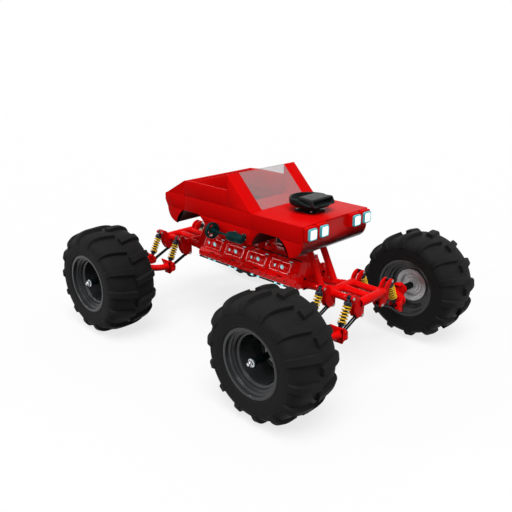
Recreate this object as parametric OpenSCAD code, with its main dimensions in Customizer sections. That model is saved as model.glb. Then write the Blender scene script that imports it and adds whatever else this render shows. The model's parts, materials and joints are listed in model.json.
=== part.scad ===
/* [Stance] */
// Distance from the front axle to the rear axle
wheelbase = 3614; // [3000:10:4400]
// Distance between the mid-planes of a left and a right wheel
track = 3398; // [3200:10:4100]

/* [Tyres and rims] */
// Tyre outer diameter over the lugs
tyre_d = 1676; // [1560:4:1720]
// Tyre width over the sidewalls
tyre_w = 840; // [700:5:900]
// Rim width over the flanges
rim_w = 780; // [600:5:840]
// Clear diameter of the rim opening
rim_d = 838; // [700:2:900]
// Diameter of the spindle under the hub bearings
spindle_d = 90; // [60:1:110]

/* [Suspension] */
// Distance along the truck between the two shock stations of a corner
station_gap = 486; // [420:2:600]
// Height of the upper shock eye
shock_top_z = 1280; // [1240:2:1340]
// Distance from the centre line to the upper shock eye
shock_top_y = 455; // [420:2:500]
// Outside diameter of a coil spring
spring_d = 124; // [100:1:150]
// Diameter of the steering pin
kingpin_d = 44; // [30:1:60]

/* [Chassis] */
// Outside diameter of the frame tubes
tube_d = 116; // [80:1:130]
// Outside diameter of the sloping body supports
support_d = 100; // [70:1:120]
// Length of the engine
engine_l = 2100; // [1800:10:2200]

/* [Body] */
// Width of the body shell
body_w = 1454; // [1300:2:1600]
// Thickness of the moulded body shell
shell_t = 24; // [14:1:36]
// Height of the underside of the body
body_bottom_z = 1690; // [1660:2:1730]
// Height of the hood and of the belt line
belt_z = 2171; // [2120:1:2240]
// Height of the tub sides
tub_z = 2420; // [2380:2:2500]
// Height of the top of the windscreen
screen_z = 2645; // [2560:5:2760]
// Radius of the wheel arches
arch_r = 374; // [320:2:390]
// Thickness of the windscreen glass
glass_t = 8; // [5:1:14]

/* [Hidden] */
CORNERS = [["fr", 1, -1], ["fl", 1, 1], ["rr", -1, -1], ["rl", -1, 1]];
eps = 0.01;
seat_gap = 0.3;

// colours
red = [0.86, 0.04, 0.04];
black = [0.07, 0.09, 0.09];
rubber = [0.12, 0.12, 0.12];
dark = [0.25, 0.25, 0.26];
silver = [0.66, 0.66, 0.66];
yellow = [1.0, 0.82, 0.10];

// wheels: sizes in the wheel's own frame, +Y outboard from the mid-plane
axle_x = wheelbase / 2;
wheel_y = track / 2;
tyre_r = tyre_d / 2;
rim_r = rim_d / 2;
rim_half = rim_w / 2;
tyre_half = tyre_w / 2;
shoulder_r = tyre_r - 82;
shoulder_y = tyre_half - 36;
flange_t = 9;
lip_r = 40;
bead_r = 15;
casing_t = 44;
web_r = 0.76 * rim_r;
web_t = 14;
web_y = -168;
web_in_r = 235;
rotor_r = 256;
rotor_t = 26;
hub_disc_r = 190;
hub_disc_y = web_y + 60;
hub_disc_t = 24;
hub_nose = 130;
hub_back = 90;
bearing_gap = 0.08;

// steering: kingpin axis and the parts round it, measured from the wheel's mid-plane
kingpin_y = wheel_y - 539;
yoke_gap = 5;
knuckle_h = 180;
knuckle_r = 56;
lug_t = 26;
pin_gap = 0.3;
axle_z = tyre_r;

// suspension stations and pivots; +Y outboard from the truck's centre line
station = station_gap / 2;
link_in = [236, axle_z + 142];
link_out = [642, axle_z - 38];
shock_low = [650, axle_z + 40];
shock_top = [shock_top_y, shock_top_z];
shock_len = norm(shock_low - shock_top);
shock_tilt = atan2(shock_low[0] - shock_top[0], shock_top[1] - shock_low[1]);
eye_d = 34;
eye_w = 66;
bush_gap = 0.3;
plate_t = 24;
lug_face = eye_w / 2 + bush_gap;
carrier_face = station + 108;
hoop_r = 290;
hoop_y = 708;
hoop_tube = 104;
hoop_z = axle_z + 14;

// chassis
frame_z = 1160;
front_cross_x = axle_x + station + 34;
inner_cross_x = axle_x - station + 8;
rail_y = 150;
tower_rail_y = 252;
cross_half = tower_rail_y + 30;
cross_d = tube_d + 10;
rail_z = 1095;
engine_end = engine_l / 2;
end_plate_t = 20;
support_foot_x = 1339;
support_lean = 0.51;
stub_x = 108;
stub_y = 125;
stub_d = 120;

// engine
block_top_z = 1430;
head_top_z = 1412;
ledge_z = 1182;
ledge_y = 420;
ledge_h = 72;
bay_pitch = 489;
bay_l = 430;
bay_x = -1003;

// motor drive on the sill
drive_x = -212;
drive_out = 130;
drive_z = body_bottom_z + 110;

// body shell
half_w = body_w / 2;
skin = half_w - shell_t;
big = 3000;
roll_r = 230;
nose_x = 1428;
tail_x = 1428;
tail_low = [-1492, 2033];
tail_mid = [-1485, 2137];
tail_top_x = -1370;
crease_z = body_bottom_z + roll_r;
screen_base_x = 456;
tub_front_x = -16;
tub_rear_x = -998;
tub_break_x = -800;
tub_rear_z = tub_z - 16;
arch_flat = body_bottom_z + 236;
arch_z = body_bottom_z - 90;
front_arch_x = 835;
rear_arch_x = -854;
pillar_w = half_w - 485;
rear_wall_t = 30;
lamp_y = [366, 608];
lamp_z = belt_z - 109;
lamp_w = 156;
lamp_x = 1540;
lamp_seat_x = nose_x + seat_gap;
intake_x = 945;

// ---------- placing helpers ----------

// children in a corner's frame: origin on the ground below the axle, +Y outboard
module corner(fore, side) {
    translate([fore * axle_x, 0, 0]) scale_y(side) children();
}

module scale_y(side) {
    if (side > 0) children();
    else mirror([0, 1, 0]) children();
}

module all_corners() {
    for (c = CORNERS) corner(c[1], c[2]) children();
}

// both shock stations of every corner, children centred on the station
module all_stations() {
    all_corners() for (s = [-1, 1]) translate([s * station, 0, 0]) children();
}

module both_sides() {
    for (side = [-1, 1]) scale_y(side) children();
}

// round bar between two points
module bar(a, b, d) {
    v = b - a;
    l = norm(v);
    translate(a) rotate([0, acos(v[2] / l), atan2(v[1], v[0])]) cylinder(h = l, d = d, $fn = 64);
}

// flat plate in the YZ plane, centred on x
module yz_plate(x, t, points) {
    translate([x - t / 2, 0, 0]) rotate([90, 0, 90]) linear_extrude(t) polygon(points);
}

// disc or eye with its axis along X
module x_disc(x, l, y, z, d) {
    translate([x - l / 2, y, z]) rotate([0, 90, 0]) cylinder(h = l, d = d, $fn = 64);
}

// revolve a profile of [radius, outboard] points about the wheel axis
module wheel_turn(points) {
    translate([0, wheel_y, axle_z]) rotate([-90, 0, 0]) rotate_extrude($fn = 96)
        polygon([for (q = points) [q[0], q[1]]]);
}

// ---------- wheels ----------

// hollow casing whose beads sit on the barrel between the flanges
module tyre_shape() {
    crown = 10;
    bead_in = rim_r + bead_r + seat_gap;
    bead_y = rim_half - flange_t - seat_gap;
    over_lip = rim_r + lip_r + seat_gap;
    right = [[bead_in, bead_y], [over_lip, bead_y], [over_lip, rim_half + 2],
        [rim_r + 90, tyre_half - 10], [rim_r + 180, tyre_half], [rim_r + 260, tyre_half - 12],
        for (i = [0 : crown]) let (a = 90 * i / crown)
            [shoulder_r + (tyre_r - shoulder_r) * sin(a), shoulder_y * pow(cos(a), 0.7)]];
    mirrored = [for (i = [len(right) - 2 : -1 : 0]) [right[i][0], -right[i][1]]];
    toe_y = rim_half - 60;
    inside = [[bead_in, -toe_y], [rim_r + 150, casing_t - tyre_half],
        [shoulder_r - casing_t, casing_t - shoulder_y], [tyre_r - 100, 0],
        [shoulder_r - casing_t, shoulder_y - casing_t], [rim_r + 150, tyre_half - casing_t],
        [bead_in, toe_y]];
    wheel_turn(concat(right, mirrored, inside));
}

// stepped deep barrel with a centre web
module rim_shape() {
    seat = rim_half - 70;
    well = rim_half - 150;
    step = 34;
    wheel_turn([
        [rim_r, rim_half], [rim_r + lip_r, rim_half], [rim_r + lip_r, rim_half - flange_t],
        [rim_r + bead_r, rim_half - flange_t], [rim_r + bead_r, seat - 12], [web_r + step + 12, seat - 12],
        [web_r + step + 12, well - 12], [web_r + 12, well - 12],
        [web_r + 12, -well + 12], [web_r + step + 12, -well + 12], [web_r + step + 12, -seat + 12],
        [rim_r + bead_r, -seat + 12], [rim_r + bead_r, -rim_half + flange_t],
        [rim_r + lip_r, -rim_half + flange_t], [rim_r + lip_r, -rim_half], [rim_r, -rim_half],
        [rim_r, -seat], [web_r + step, -seat], [web_r + step, -well], [web_r, -well],
        [web_r, web_y], [web_in_r, web_y], [web_in_r, web_y + web_t], [web_r, web_y + web_t],
        [web_r, well], [web_r + step, well], [web_r + step, seat], [rim_r, seat]]);
}

// brake rotor ring bolted inside the web, hat and hub disc, bearing barrel through the middle
module hub_shape() {
    bore = spindle_d / 2 + bearing_gap;
    hat_t = 9;
    disc_back = hub_disc_y;
    disc_front = hub_disc_y + hub_disc_t;
    wheel_turn([
        [bore, disc_back - hub_back], [bore + 24, disc_back - hub_back], [bore + 24, disc_back],
        [hub_disc_r, disc_back], [hub_disc_r, web_y - rotor_t], [rotor_r, web_y - rotor_t],
        [rotor_r, web_y], [hub_disc_r + hat_t, web_y], [hub_disc_r + hat_t, disc_front],
        [90, disc_front], [76, disc_front + 40], [bore + 20, disc_front + hub_nose],
        [bore, disc_front + hub_nose]]);
}

module tyre(fore, side) {
    color(rubber) corner(fore, side) tyre_shape();
}

module rim(fore, side) {
    color(dark) corner(fore, side) rim_shape();
}

module hub(fore, side) {
    color(silver) corner(fore, side) hub_shape();
}

// ---------- steering and suspension ----------

// upright block on the kingpin with the stub axle that carries the hub
module knuckle(fore, side) {
    hub_in = wheel_y + hub_disc_y - hub_back - yoke_gap;
    hub_out = wheel_y + hub_disc_y + hub_disc_t + hub_nose + yoke_gap;
    block_y = kingpin_y + knuckle_r + 22;
    color(red) corner(fore, side) difference() {
        union() {
            translate([0, kingpin_y, axle_z - knuckle_h / 2])
                cylinder(h = knuckle_h, r = knuckle_r, $fn = 96);
            translate([-62, kingpin_y, axle_z - knuckle_h / 2 + 14])
                cube([124, knuckle_r + 22, knuckle_h - 28]);
            y_rod(block_y, 40, spindle_d + 54);
            y_rod(block_y, hub_in - block_y, spindle_d + 20);
            y_rod(block_y, hub_out - block_y, spindle_d);
            y_rod(hub_out - eps, 30, spindle_d + 34);
            y_rod(hub_out, 62, spindle_d - 30);
        }
        translate([0, kingpin_y, axle_z - knuckle_h])
            cylinder(h = 2 * knuckle_h, d = kingpin_d + 2 * pin_gap, $fn = 96);
    }
}

// round rod on the axle line, outboard from y
module y_rod(y, l, d) {
    translate([0, y, axle_z]) rotate([-90, 0, 0]) cylinder(h = l, d = d, $fn = 96);
}

// wheel carrier: angle brackets at both stations, a hoop that bulges towards the wheel
// and a yoke for the kingpin
module carrier() {
    z = axle_z;
    yoke_in = hoop_y + hoop_r - 20;
    yoke_x = 60;
    yoke_z = z - knuckle_h / 2 - yoke_gap - lug_t;
    yoke_h = knuckle_h + 2 * yoke_gap + 2 * lug_t;
    face_in = carrier_face - plate_t;
    lug_x = station - lug_face - plate_t;
    pin_l = face_in - lug_x + plate_t / 2;
    for (s = [-1, 1]) {
        // bracket face across the truck
        yz_plate(s * (carrier_face - plate_t / 2), plate_t, [[596, z + 12], [600, z - 30],
            [640, z - 66], [690, z - 84], [706, z - 104], [hoop_y + plate_t, z - 104],
            [hoop_y + plate_t, z + 116], [hoop_y - 40, z + 104]]);
        // inner lug of the pins
        yz_plate(s * (lug_x + plate_t / 2), plate_t, [[604, z + 20], [604, z - 56],
            [640, z - 72], [hoop_y + 1, z - 72], [hoop_y + 1, z + 74], [650, z + 74]]);
        x_disc(s * (lug_x + plate_t / 2 + pin_l / 2), pin_l, link_out[0], link_out[1], eye_d);
        x_disc(s * (lug_x + plate_t / 2 + pin_l / 2), pin_l, shock_low[0], shock_low[1], eye_d);
    }
    // bracket faces along the truck, cut round towards the axle
    translate([0, hoop_y + plate_t, 0]) rotate([90, 0, 0]) linear_extrude(plate_t) difference() {
        for (s = [-1, 1]) translate([s > 0 ? 136 : -carrier_face, z - 104])
            square([carrier_face - 136, 220]);
        translate([0, z - 80]) circle(r = 218, $fn = 96);
    }
    difference() {
        translate([0, hoop_y, hoop_z]) rotate_extrude($fn = 96)
            translate([hoop_r, 0]) circle(d = hoop_tube, $fn = 48);
        translate([-500, hoop_y - 600, hoop_z - 200]) cube([1000, 600 + plate_t / 2, 400]);
    }
    translate([-yoke_x, yoke_in, yoke_z]) cube([2 * yoke_x, kingpin_y - 90 - yoke_in, yoke_h]);
    for (lug_z = [yoke_z, yoke_z + yoke_h - lug_t]) {
        translate([-yoke_x, yoke_in, lug_z]) cube([2 * yoke_x, kingpin_y - yoke_in, lug_t]);
        translate([0, kingpin_y, lug_z]) cylinder(h = lug_t, r = yoke_x, $fn = 96);
    }
    translate([0, kingpin_y, yoke_z - 12]) cylinder(h = yoke_h + 24, d = kingpin_d, $fn = 96);
}

module carriers() {
    color(red) all_corners() carrier();
}

// lower link of two bars side by side with an eye at each end
module lower_links() {
    bar_d = 30;
    bar_gap = 6;
    color(black) all_stations() difference() {
        union() {
            for (s = [-1, 1]) bar([0, link_in[0], link_in[1]] + s * [(bar_d + bar_gap) / 2, 0, 0],
                [0, link_out[0], link_out[1]] + s * [(bar_d + bar_gap) / 2, 0, 0], bar_d - 2);
            x_disc(0, 2 * lug_face - 1, link_in[0], link_in[1], 64);
            x_disc(0, 2 * lug_face - 1, link_out[0], link_out[1], 64);
        }
        x_disc(0, 4 * eye_w, link_in[0], link_in[1], eye_d + 2 * bush_gap);
        x_disc(0, 4 * eye_w, link_out[0], link_out[1], eye_d + 2 * bush_gap);
    }
}

// children in a shock's frame: origin on the lower eye, +Z along the shock to the upper eye
module shock_frame() {
    translate([0, shock_low[0], shock_low[1]]) rotate([shock_tilt, 0, 0]) children();
}

cap_h = 66;
cap_top = 42;
seat_z = 92;
spring_h = shock_len - cap_top - cap_h - seat_z;

module dampers() {
    color(black) all_stations() shock_frame() difference() {
        union() {
            x_disc(0, eye_w, 0, 0, 60);
            x_disc(0, eye_w, 0, shock_len, 60);
            cylinder(h = shock_len, d = 34, $fn = 64);
            translate([0, 0, 30]) cylinder(h = shock_len * 0.58, d = 64, $fn = 64);
            translate([0, 0, seat_z - 14]) cylinder(h = 14, d = spring_d - 6, $fn = 64);
            translate([0, 0, shock_len - cap_top - cap_h])
                cylinder(h = cap_h, d = spring_d - 12, $fn = 64);
        }
        x_disc(0, 2 * eye_w, 0, 0, eye_d + 2 * bush_gap);
        x_disc(0, 2 * eye_w, 0, shock_len, eye_d + 2 * bush_gap);
    }
}

// ribbed sleeve that has the outline of the coil
module coil_springs() {
    wire = 24;
    turns = 6;
    pitch = (spring_h - wire) / (turns - 1);
    color(yellow) all_stations() shock_frame() translate([0, 0, seat_z]) rotate_extrude($fn = 64)
        union() {
            translate([spring_d / 2 - wire / 2 - 6, 0]) square([12, spring_h]);
            for (i = [0 : turns - 1])
                translate([spring_d / 2 - wire / 2, wire / 2 + i * pitch]) circle(d = wire, $fn = 24);
        }
}

// ---------- chassis ----------

// tubes of one end between the engine and the shock towers, built forwards, each grown
// by clear all round
module end_tubes(clear) {
    side_d = tube_d - 14 + 2 * clear;
    both_sides() {
        bar([engine_end + end_plate_t / 2, rail_y, rail_z], [inner_cross_x, rail_y, frame_z],
            tube_d + 2 * clear);
        bar([inner_cross_x, tower_rail_y, frame_z], [front_cross_x, tower_rail_y, frame_z], side_d);
    }
    bar([inner_cross_x, 0, frame_z], [front_cross_x, 0, frame_z], tube_d - 4 + 2 * clear);
    for (x = [inner_cross_x, front_cross_x])
        bar([x, -cross_half, frame_z], [x, cross_half, frame_z], cross_d + 2 * clear);
}

module end_frame() {
    plate_low = rail_z - 64;
    end_tubes(0);
    translate([engine_end, -rail_y - 90, plate_low]) cube([end_plate_t, 2 * rail_y + 180, 200]);
}

module front_frame() {
    color(red) end_frame();
}

module rear_frame() {
    color(red) mirror([1, 0, 0]) end_frame();
}

// pair of hooked plates that hold the upper shock eye and the inner link eye
module tower() {
    z = frame_z;
    top = shock_top;
    for (s = [-1, 1]) yz_plate(s * (lug_face + plate_t / 2), plate_t,
        [[192, z - 200], [192, z + 22], [296, z + 30], [top[0] - 140, z + 84],
        [top[0] - 104, z + 128], [top[0] - 52, top[1] + 32], [top[0], top[1] + 36],
        [top[0] + 30, top[1] + 14], [top[0] + 30, top[1] - 20], [top[0] - 6, top[1] - 36],
        [top[0] - 34, z + 56], [398, z + 16], [402, z - 60], [386, z - 112], [330, z - 200]]);
    x_disc(0, 2 * lug_face + plate_t, link_in[0], link_in[1], eye_d);
    x_disc(0, 2 * lug_face + plate_t, top[0], top[1], eye_d);
}

module shock_towers() {
    color(red) difference() {
        all_stations() tower();
        end_tubes(seat_gap);
        mirror([1, 0, 0]) end_tubes(seat_gap);
    }
}

// one sloping support from the frame rail up to the flat roof of the arch
module sloping_support() {
    rail_rise = (frame_z - rail_z) / (inner_cross_x - engine_end - end_plate_t / 2);
    foot_z = rail_z + rail_rise * (support_foot_x - engine_end - end_plate_t / 2);
    top_z = arch_flat - seat_gap;
    top_x = support_foot_x - support_lean * (top_z - foot_z);
    over = 200;
    difference() {
        bar([support_foot_x, rail_y, foot_z],
            [top_x - support_lean * over, rail_y, top_z + over], support_d);
        translate([top_x - 500, rail_y - 200, top_z]) cube([1000, 400, 2 * over]);
        end_tubes(seat_gap);
    }
}

// four sloping supports under the arch roofs and two short posts on the engine
module body_supports() {
    color(red) {
        both_sides() {
            sloping_support();
            mirror([1, 0, 0]) sloping_support();
            translate([stub_x, stub_y, block_top_z + seat_gap])
                cylinder(h = body_bottom_z - block_top_z - 2 * seat_gap, d = stub_d, $fn = 64);
        }
    }
}

// ---------- engine ----------

// extrude a [y, z] outline along X from x0 to x1
module yz_run(x0, x1, points) {
    translate([x0, 0, 0]) rotate([90, 0, 90]) linear_extrude(x1 - x0) polygon(points);
}

module engine_block() {
    color(red) both_sides() yz_run(-engine_end, engine_end, [[0, 1040], [210, 1040],
        [ledge_y - 20, ledge_z - ledge_h], [ledge_y, ledge_z - ledge_h], [ledge_y, ledge_z],
        [364, ledge_z + 50], [200, ledge_z + 50], [110, block_top_z], [0, block_top_z]]);
}

// four separate heads on each bank with a sloping outer face
module cylinder_heads() {
    face_low = [362, ledge_z + 62];
    face_top = [278, head_top_z];
    slope = atan2(face_low[0] - face_top[0], face_top[1] - face_low[1]);
    color(red) both_sides() for (i = [0 : 3]) {
        x = bay_x + i * bay_pitch;
        difference() {
            yz_run(x, x + bay_l, [[200, ledge_z + 50], [364, ledge_z + 50], face_low, face_top,
                [150, head_top_z], [117.3, block_top_z - 16]]);
            translate([x + 36, face_low[0], face_low[1]]) rotate([slope, 0, 0])
                translate([0, -14, 26]) cube([bay_l - 72, 60, 130]);
        }
    }
}

// round runners down the valley, one over each pair of heads
module intake_pipes() {
    pipe_d = 84;
    color(red) for (i = [0 : 3]) {
        x = bay_x + bay_l / 2 + i * bay_pitch;
        difference() {
            translate([x, 0, block_top_z]) rotate([90, 0, 0]) rotate_extrude(angle = 180, $fn = 64)
                translate([70, 0]) circle(d = pipe_d, $fn = 48);
            translate([x - 200, -100, block_top_z - 200]) cube([400, 200, 200]);
        }
    }
}

// shallow pan and two filters below the block
module sump_tray() {
    color(black) {
        yz_run(-engine_end + 120, engine_end - 120,
            [[-200, 1040], [-150, 985], [150, 985], [200, 1040]]);
        for (x = [-330, 60]) translate([x, 0, 925]) cylinder(h = 60, d = 110, $fn = 48);
    }
}

// spoked wheel, shaft and rounded motor on the right sill
module side_drive() {
    ring_r = 124;
    ring_w = 56;
    foot_t = 28;
    shaft_d = 34;
    color(black) translate([drive_x, -half_w - drive_out, drive_z]) {
        rotate([0, 90, 0]) {
            translate([0, 0, -110]) rotate([0, 0, 36]) cylinder(h = 460, d = shaft_d, $fn = 48);
            rotate([0, 0, 36]) translate([0, 0, -ring_w / 2]) {
                rotate_extrude($fn = 64) translate([ring_r - 26, 0]) square([26, ring_w]);
                cylinder(h = 110, d1 = 96, d2 = 60, $fn = 48);
            }
            for (a = [0 : 72 : 288]) rotate([0, 0, a]) translate([0, -9, -ring_w / 4])
                cube([ring_r - 13, 18, ring_w / 2]);
            translate([0, 0, 330]) rotate([0, 0, 36]) rotate_extrude($fn = 64)
                polygon([[0, 0], [30, 0], [56, 22], [70, 70], [72, 260], [60, 306], [34, 330], [0, 330]]);
        }
        for (x = [-70, 380, 560]) translate([x - foot_t / 2, 0, -24]) cube([foot_t, drive_out, 48]);
    }
}

// ---------- body shell ----------

// side outline of the body, drawn inwards by t; X along the truck, Y up
module side_outline(t) {
    union() {
        translate([nose_x - roll_r, crease_z]) circle(r = roll_r - t, $fn = 96);
        translate([-tail_x + roll_r, crease_z]) circle(r = roll_r - t, $fn = 96);
        translate([-tail_x + roll_r, body_bottom_z + t])
            square([nose_x + tail_x - 2 * roll_r, roll_r]);
        polygon([[-tail_x + t, crease_z], [nose_x - t, crease_z], [nose_x - t, belt_z - t],
            [tail_top_x + t / 2, belt_z - t], [tail_mid[0] + t, tail_mid[1] - t / 2],
            [tail_low[0] + t, tail_low[1]]]);
    }
}

// outline of the raised part behind the windscreen
module tub_outline(t) {
    root_z = belt_z - 60;
    polygon([[tub_front_x, root_z], [tub_front_x, tub_z - t / 2], [tub_break_x, tub_z - t / 2],
        [tub_rear_x, tub_rear_z - t], [tail_mid[0], tail_mid[1] - t], [tail_top_x, root_z]]);
}

// extrude an outline of [x, z] points across the truck from y0 to y1
module across(y0, y1) {
    translate([0, y1, 0]) rotate([90, 0, 0]) linear_extrude(y1 - y0) children();
}

// outlines of both wheel arches, flat at the top, grown outwards
module arch_outlines(grow) {
    low = 40;
    for (x = [front_arch_x, rear_arch_x]) intersection() {
        translate([x, arch_z]) circle(r = arch_r + grow, $fn = 96);
        translate([x - 2 * arch_r, body_bottom_z - low])
            square([4 * arch_r, arch_flat - body_bottom_z + low + grow]);
    }
}

// whole body outline between two stations, drawn inwards by t
module body_outline(x0, x1, t) {
    intersection() {
        union() {
            side_outline(t);
            tub_outline(t);
        }
        translate([x0, 0]) square([x1 - x0, screen_z]);
    }
}

// side panels between two stations, one on each side, cut out over the wheels
module side_panels(x0, x1) {
    both_sides() across(skin, half_w) difference() {
        body_outline(x0, x1, 0);
        arch_outlines(0);
    }
}

// skin that runs across the body between the side panels, inside a box of stations and heights
module cross_skin(x0, x1, z0, z1) {
    across(-skin, skin) difference() {
        intersection() {
            body_outline(x0, x1, 0);
            translate([x0, z0]) square([x1 - x0, z1 - z0]);
        }
        body_outline(-big, big, shell_t);
        arch_outlines(shell_t + seat_gap);
    }
}

module hood() {
    color(red) across(-skin, skin) translate([screen_base_x, belt_z - shell_t])
        square([nose_x - screen_base_x, shell_t]);
}

module cowl() {
    color(red) across(-skin, skin) translate([tub_front_x, belt_z - shell_t])
        square([screen_base_x - tub_front_x, shell_t]);
}

module front_panel() {
    color(red) cross_skin(front_arch_x, nose_x, 0, belt_z - shell_t);
}

module fenders() {
    color(red) side_panels(screen_base_x, nose_x);
}

module cab_sides() {
    color(red) side_panels(tub_rear_x, screen_base_x);
}

module rear_quarters() {
    color(red) side_panels(-big, tub_rear_x);
}

module tail_section() {
    color(red) cross_skin(-big, tub_rear_x, 0, screen_z);
}

// rear wall of the tub down to the arch roof, and the firewall below the cowl
module bulkheads() {
    roof = arch_flat + shell_t;
    color(red) {
        translate([tub_rear_x, -skin, roof]) cube([rear_wall_t, 2 * skin, tub_rear_z - rear_wall_t - roof]);
        translate([tub_front_x, -skin, body_bottom_z + shell_t])
            cube([shell_t, 2 * skin, belt_z - body_bottom_z - 2 * shell_t]);
    }
}

module floor_pan() {
    color(red) cross_skin(rear_arch_x, front_arch_x, 0, body_bottom_z + shell_t);
}

// curved inner skins over the wheel arches
module arch_liners() {
    color(red) across(-skin, skin) difference() {
        arch_outlines(shell_t);
        arch_outlines(0);
        translate([-big, 0]) square([2 * big, body_bottom_z]);
    }
}

// solid wedge pillars that frame the windscreen
module pillars() {
    color(red) both_sides() across(half_w - pillar_w, half_w)
        polygon([[screen_base_x, belt_z], [tub_front_x, belt_z], [tub_front_x, screen_z]]);
}

// raked glass between the pillars, flush with their sloping edges
module windscreen() {
    lean = norm([screen_base_x - tub_front_x, screen_z - belt_z]);
    drop = glass_t * lean / (screen_base_x - tub_front_x);
    back = glass_t * lean / (screen_z - belt_z);
    glass_y = half_w - pillar_w - seat_gap;
    color([0.75, 0.8, 0.82, 0.5]) across(-glass_y, glass_y)
        polygon([[screen_base_x, belt_z], [tub_front_x, screen_z],
            [tub_front_x, screen_z - drop], [screen_base_x - back, belt_z]]);
}

module headlamp_housings() {
    wall = 30;
    color(red) both_sides() for (y = lamp_y) difference() {
        translate([lamp_seat_x, y - lamp_w / 2 - wall, lamp_z - lamp_w / 2 - wall])
            cube([lamp_x - 14 - lamp_seat_x, lamp_w + 2 * wall, lamp_w + 2 * wall]);
        translate([lamp_seat_x + 30, y - lamp_w / 2, lamp_z - lamp_w / 2]) cube([200, lamp_w, lamp_w]);
    }
}

module headlamps() {
    color([0.95, 1, 1]) both_sides() for (y = lamp_y)
        translate([lamp_seat_x + 30, y - lamp_w / 2 + 1, lamp_z - lamp_w / 2 + 1])
        cube([lamp_x - lamp_seat_x - 30, lamp_w - 2, lamp_w - 2]);
}

// round pan on a four-lobed base with a wide forward mouth
module air_intake() {
    base_h = 22;
    ear_h = 16;
    pan_z = 76;
    pan_r = 304;
    scoop_back = 60;
    scoop_l = 272;
    scoop_w = 470;
    scoop_h = 110;
    lip_t = 22;
    scoop_z = pan_z + 36;
    color(black) translate([intake_x, 0, belt_z]) {
        cylinder(h = base_h, r = 170, $fn = 96);
        for (a = [45 : 90 : 315]) rotate([0, 0, a]) translate([165, 0, 0])
            cylinder(h = ear_h, r = 62, $fn = 64);
        cylinder(h = pan_z + 20, r = 150, $fn = 96);
        difference() {
            union() {
                translate([0, 0, pan_z]) rotate([0, 0, 180]) rotate_extrude($fn = 96)
                    polygon([[0, 0], [220, 0], [290, 26], [pan_r, 58], [pan_r, 86], [280, 120], [0, 120]]);
                translate([-scoop_back, -scoop_w / 2, scoop_z])
                    cube([scoop_back + scoop_l, scoop_w, scoop_h]);
            }
            translate([150, lip_t - scoop_w / 2, scoop_z + lip_t])
                cube([scoop_l, scoop_w - 2 * lip_t, scoop_h - 2 * lip_t]);
        }
    }
}

// low bucket seat in the middle of the tub floor
module seat() {
    floor_z = body_bottom_z + shell_t;
    w = 460;
    l = 400;
    pedestal_h = 20;
    squab_h = 130;
    back_t = 110;
    back_h = 286;
    cushion_h = 90;
    bolster = 60;
    base_z = floor_z + pedestal_h;
    color(black) translate([-440, -w / 2, 0]) difference() {
        union() {
            translate([30, bolster, floor_z]) cube([l - 80, w - 2 * bolster, pedestal_h]);
            translate([0, 0, base_z]) cube([l, w, squab_h]);
            translate([0, 0, base_z]) cube([back_t, w, back_h]);
        }
        translate([back_t - 40, bolster, base_z + cushion_h]) cube([l, w - 2 * bolster, back_h]);
    }
}

for (c = CORNERS) {
    tyre(c[1], c[2]);
    rim(c[1], c[2]);
    hub(c[1], c[2]);
    knuckle(c[1], c[2]);
}
carriers();
lower_links();
dampers();
coil_springs();
front_frame();
rear_frame();
shock_towers();
body_supports();
engine_block();
cylinder_heads();
intake_pipes();
sump_tray();
side_drive();
hood();
cowl();
front_panel();
fenders();
cab_sides();
rear_quarters();
tail_section();
bulkheads();
floor_pan();
arch_liners();
pillars();
windscreen();
headlamp_housings();
headlamps();
air_intake();
seat();
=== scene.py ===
"""Monster truck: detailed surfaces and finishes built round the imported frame.

Every piece is a surface worked out with numpy in metres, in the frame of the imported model: +X forwards,
+Y to the truck's left, +Z up, with the origin on the ground between the four wheels.
"""
import json
import logging
import math
from dataclasses import dataclass, field
from enum import Enum

import bmesh
import bpy
import numpy as np
from mathutils import Matrix, Vector
from numpy.typing import ArrayLike


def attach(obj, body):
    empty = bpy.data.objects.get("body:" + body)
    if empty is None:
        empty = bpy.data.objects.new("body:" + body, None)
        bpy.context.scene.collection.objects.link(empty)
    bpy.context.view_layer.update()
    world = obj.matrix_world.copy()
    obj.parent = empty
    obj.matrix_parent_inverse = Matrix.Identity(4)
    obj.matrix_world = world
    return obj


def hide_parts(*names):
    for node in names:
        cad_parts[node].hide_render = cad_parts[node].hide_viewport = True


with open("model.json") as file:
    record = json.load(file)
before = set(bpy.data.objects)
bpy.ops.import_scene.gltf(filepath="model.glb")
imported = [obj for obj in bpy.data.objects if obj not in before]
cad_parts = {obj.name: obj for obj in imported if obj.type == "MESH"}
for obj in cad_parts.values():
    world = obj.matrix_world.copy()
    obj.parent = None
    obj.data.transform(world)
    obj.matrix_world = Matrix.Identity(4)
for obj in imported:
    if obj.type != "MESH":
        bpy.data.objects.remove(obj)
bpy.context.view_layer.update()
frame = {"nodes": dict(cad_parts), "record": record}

Array = np.ndarray
Point = tuple[float, float, float]
MM = 0.001
log = logging.getLogger("truck")


# ---------- surfaces as arrays ----------

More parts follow.
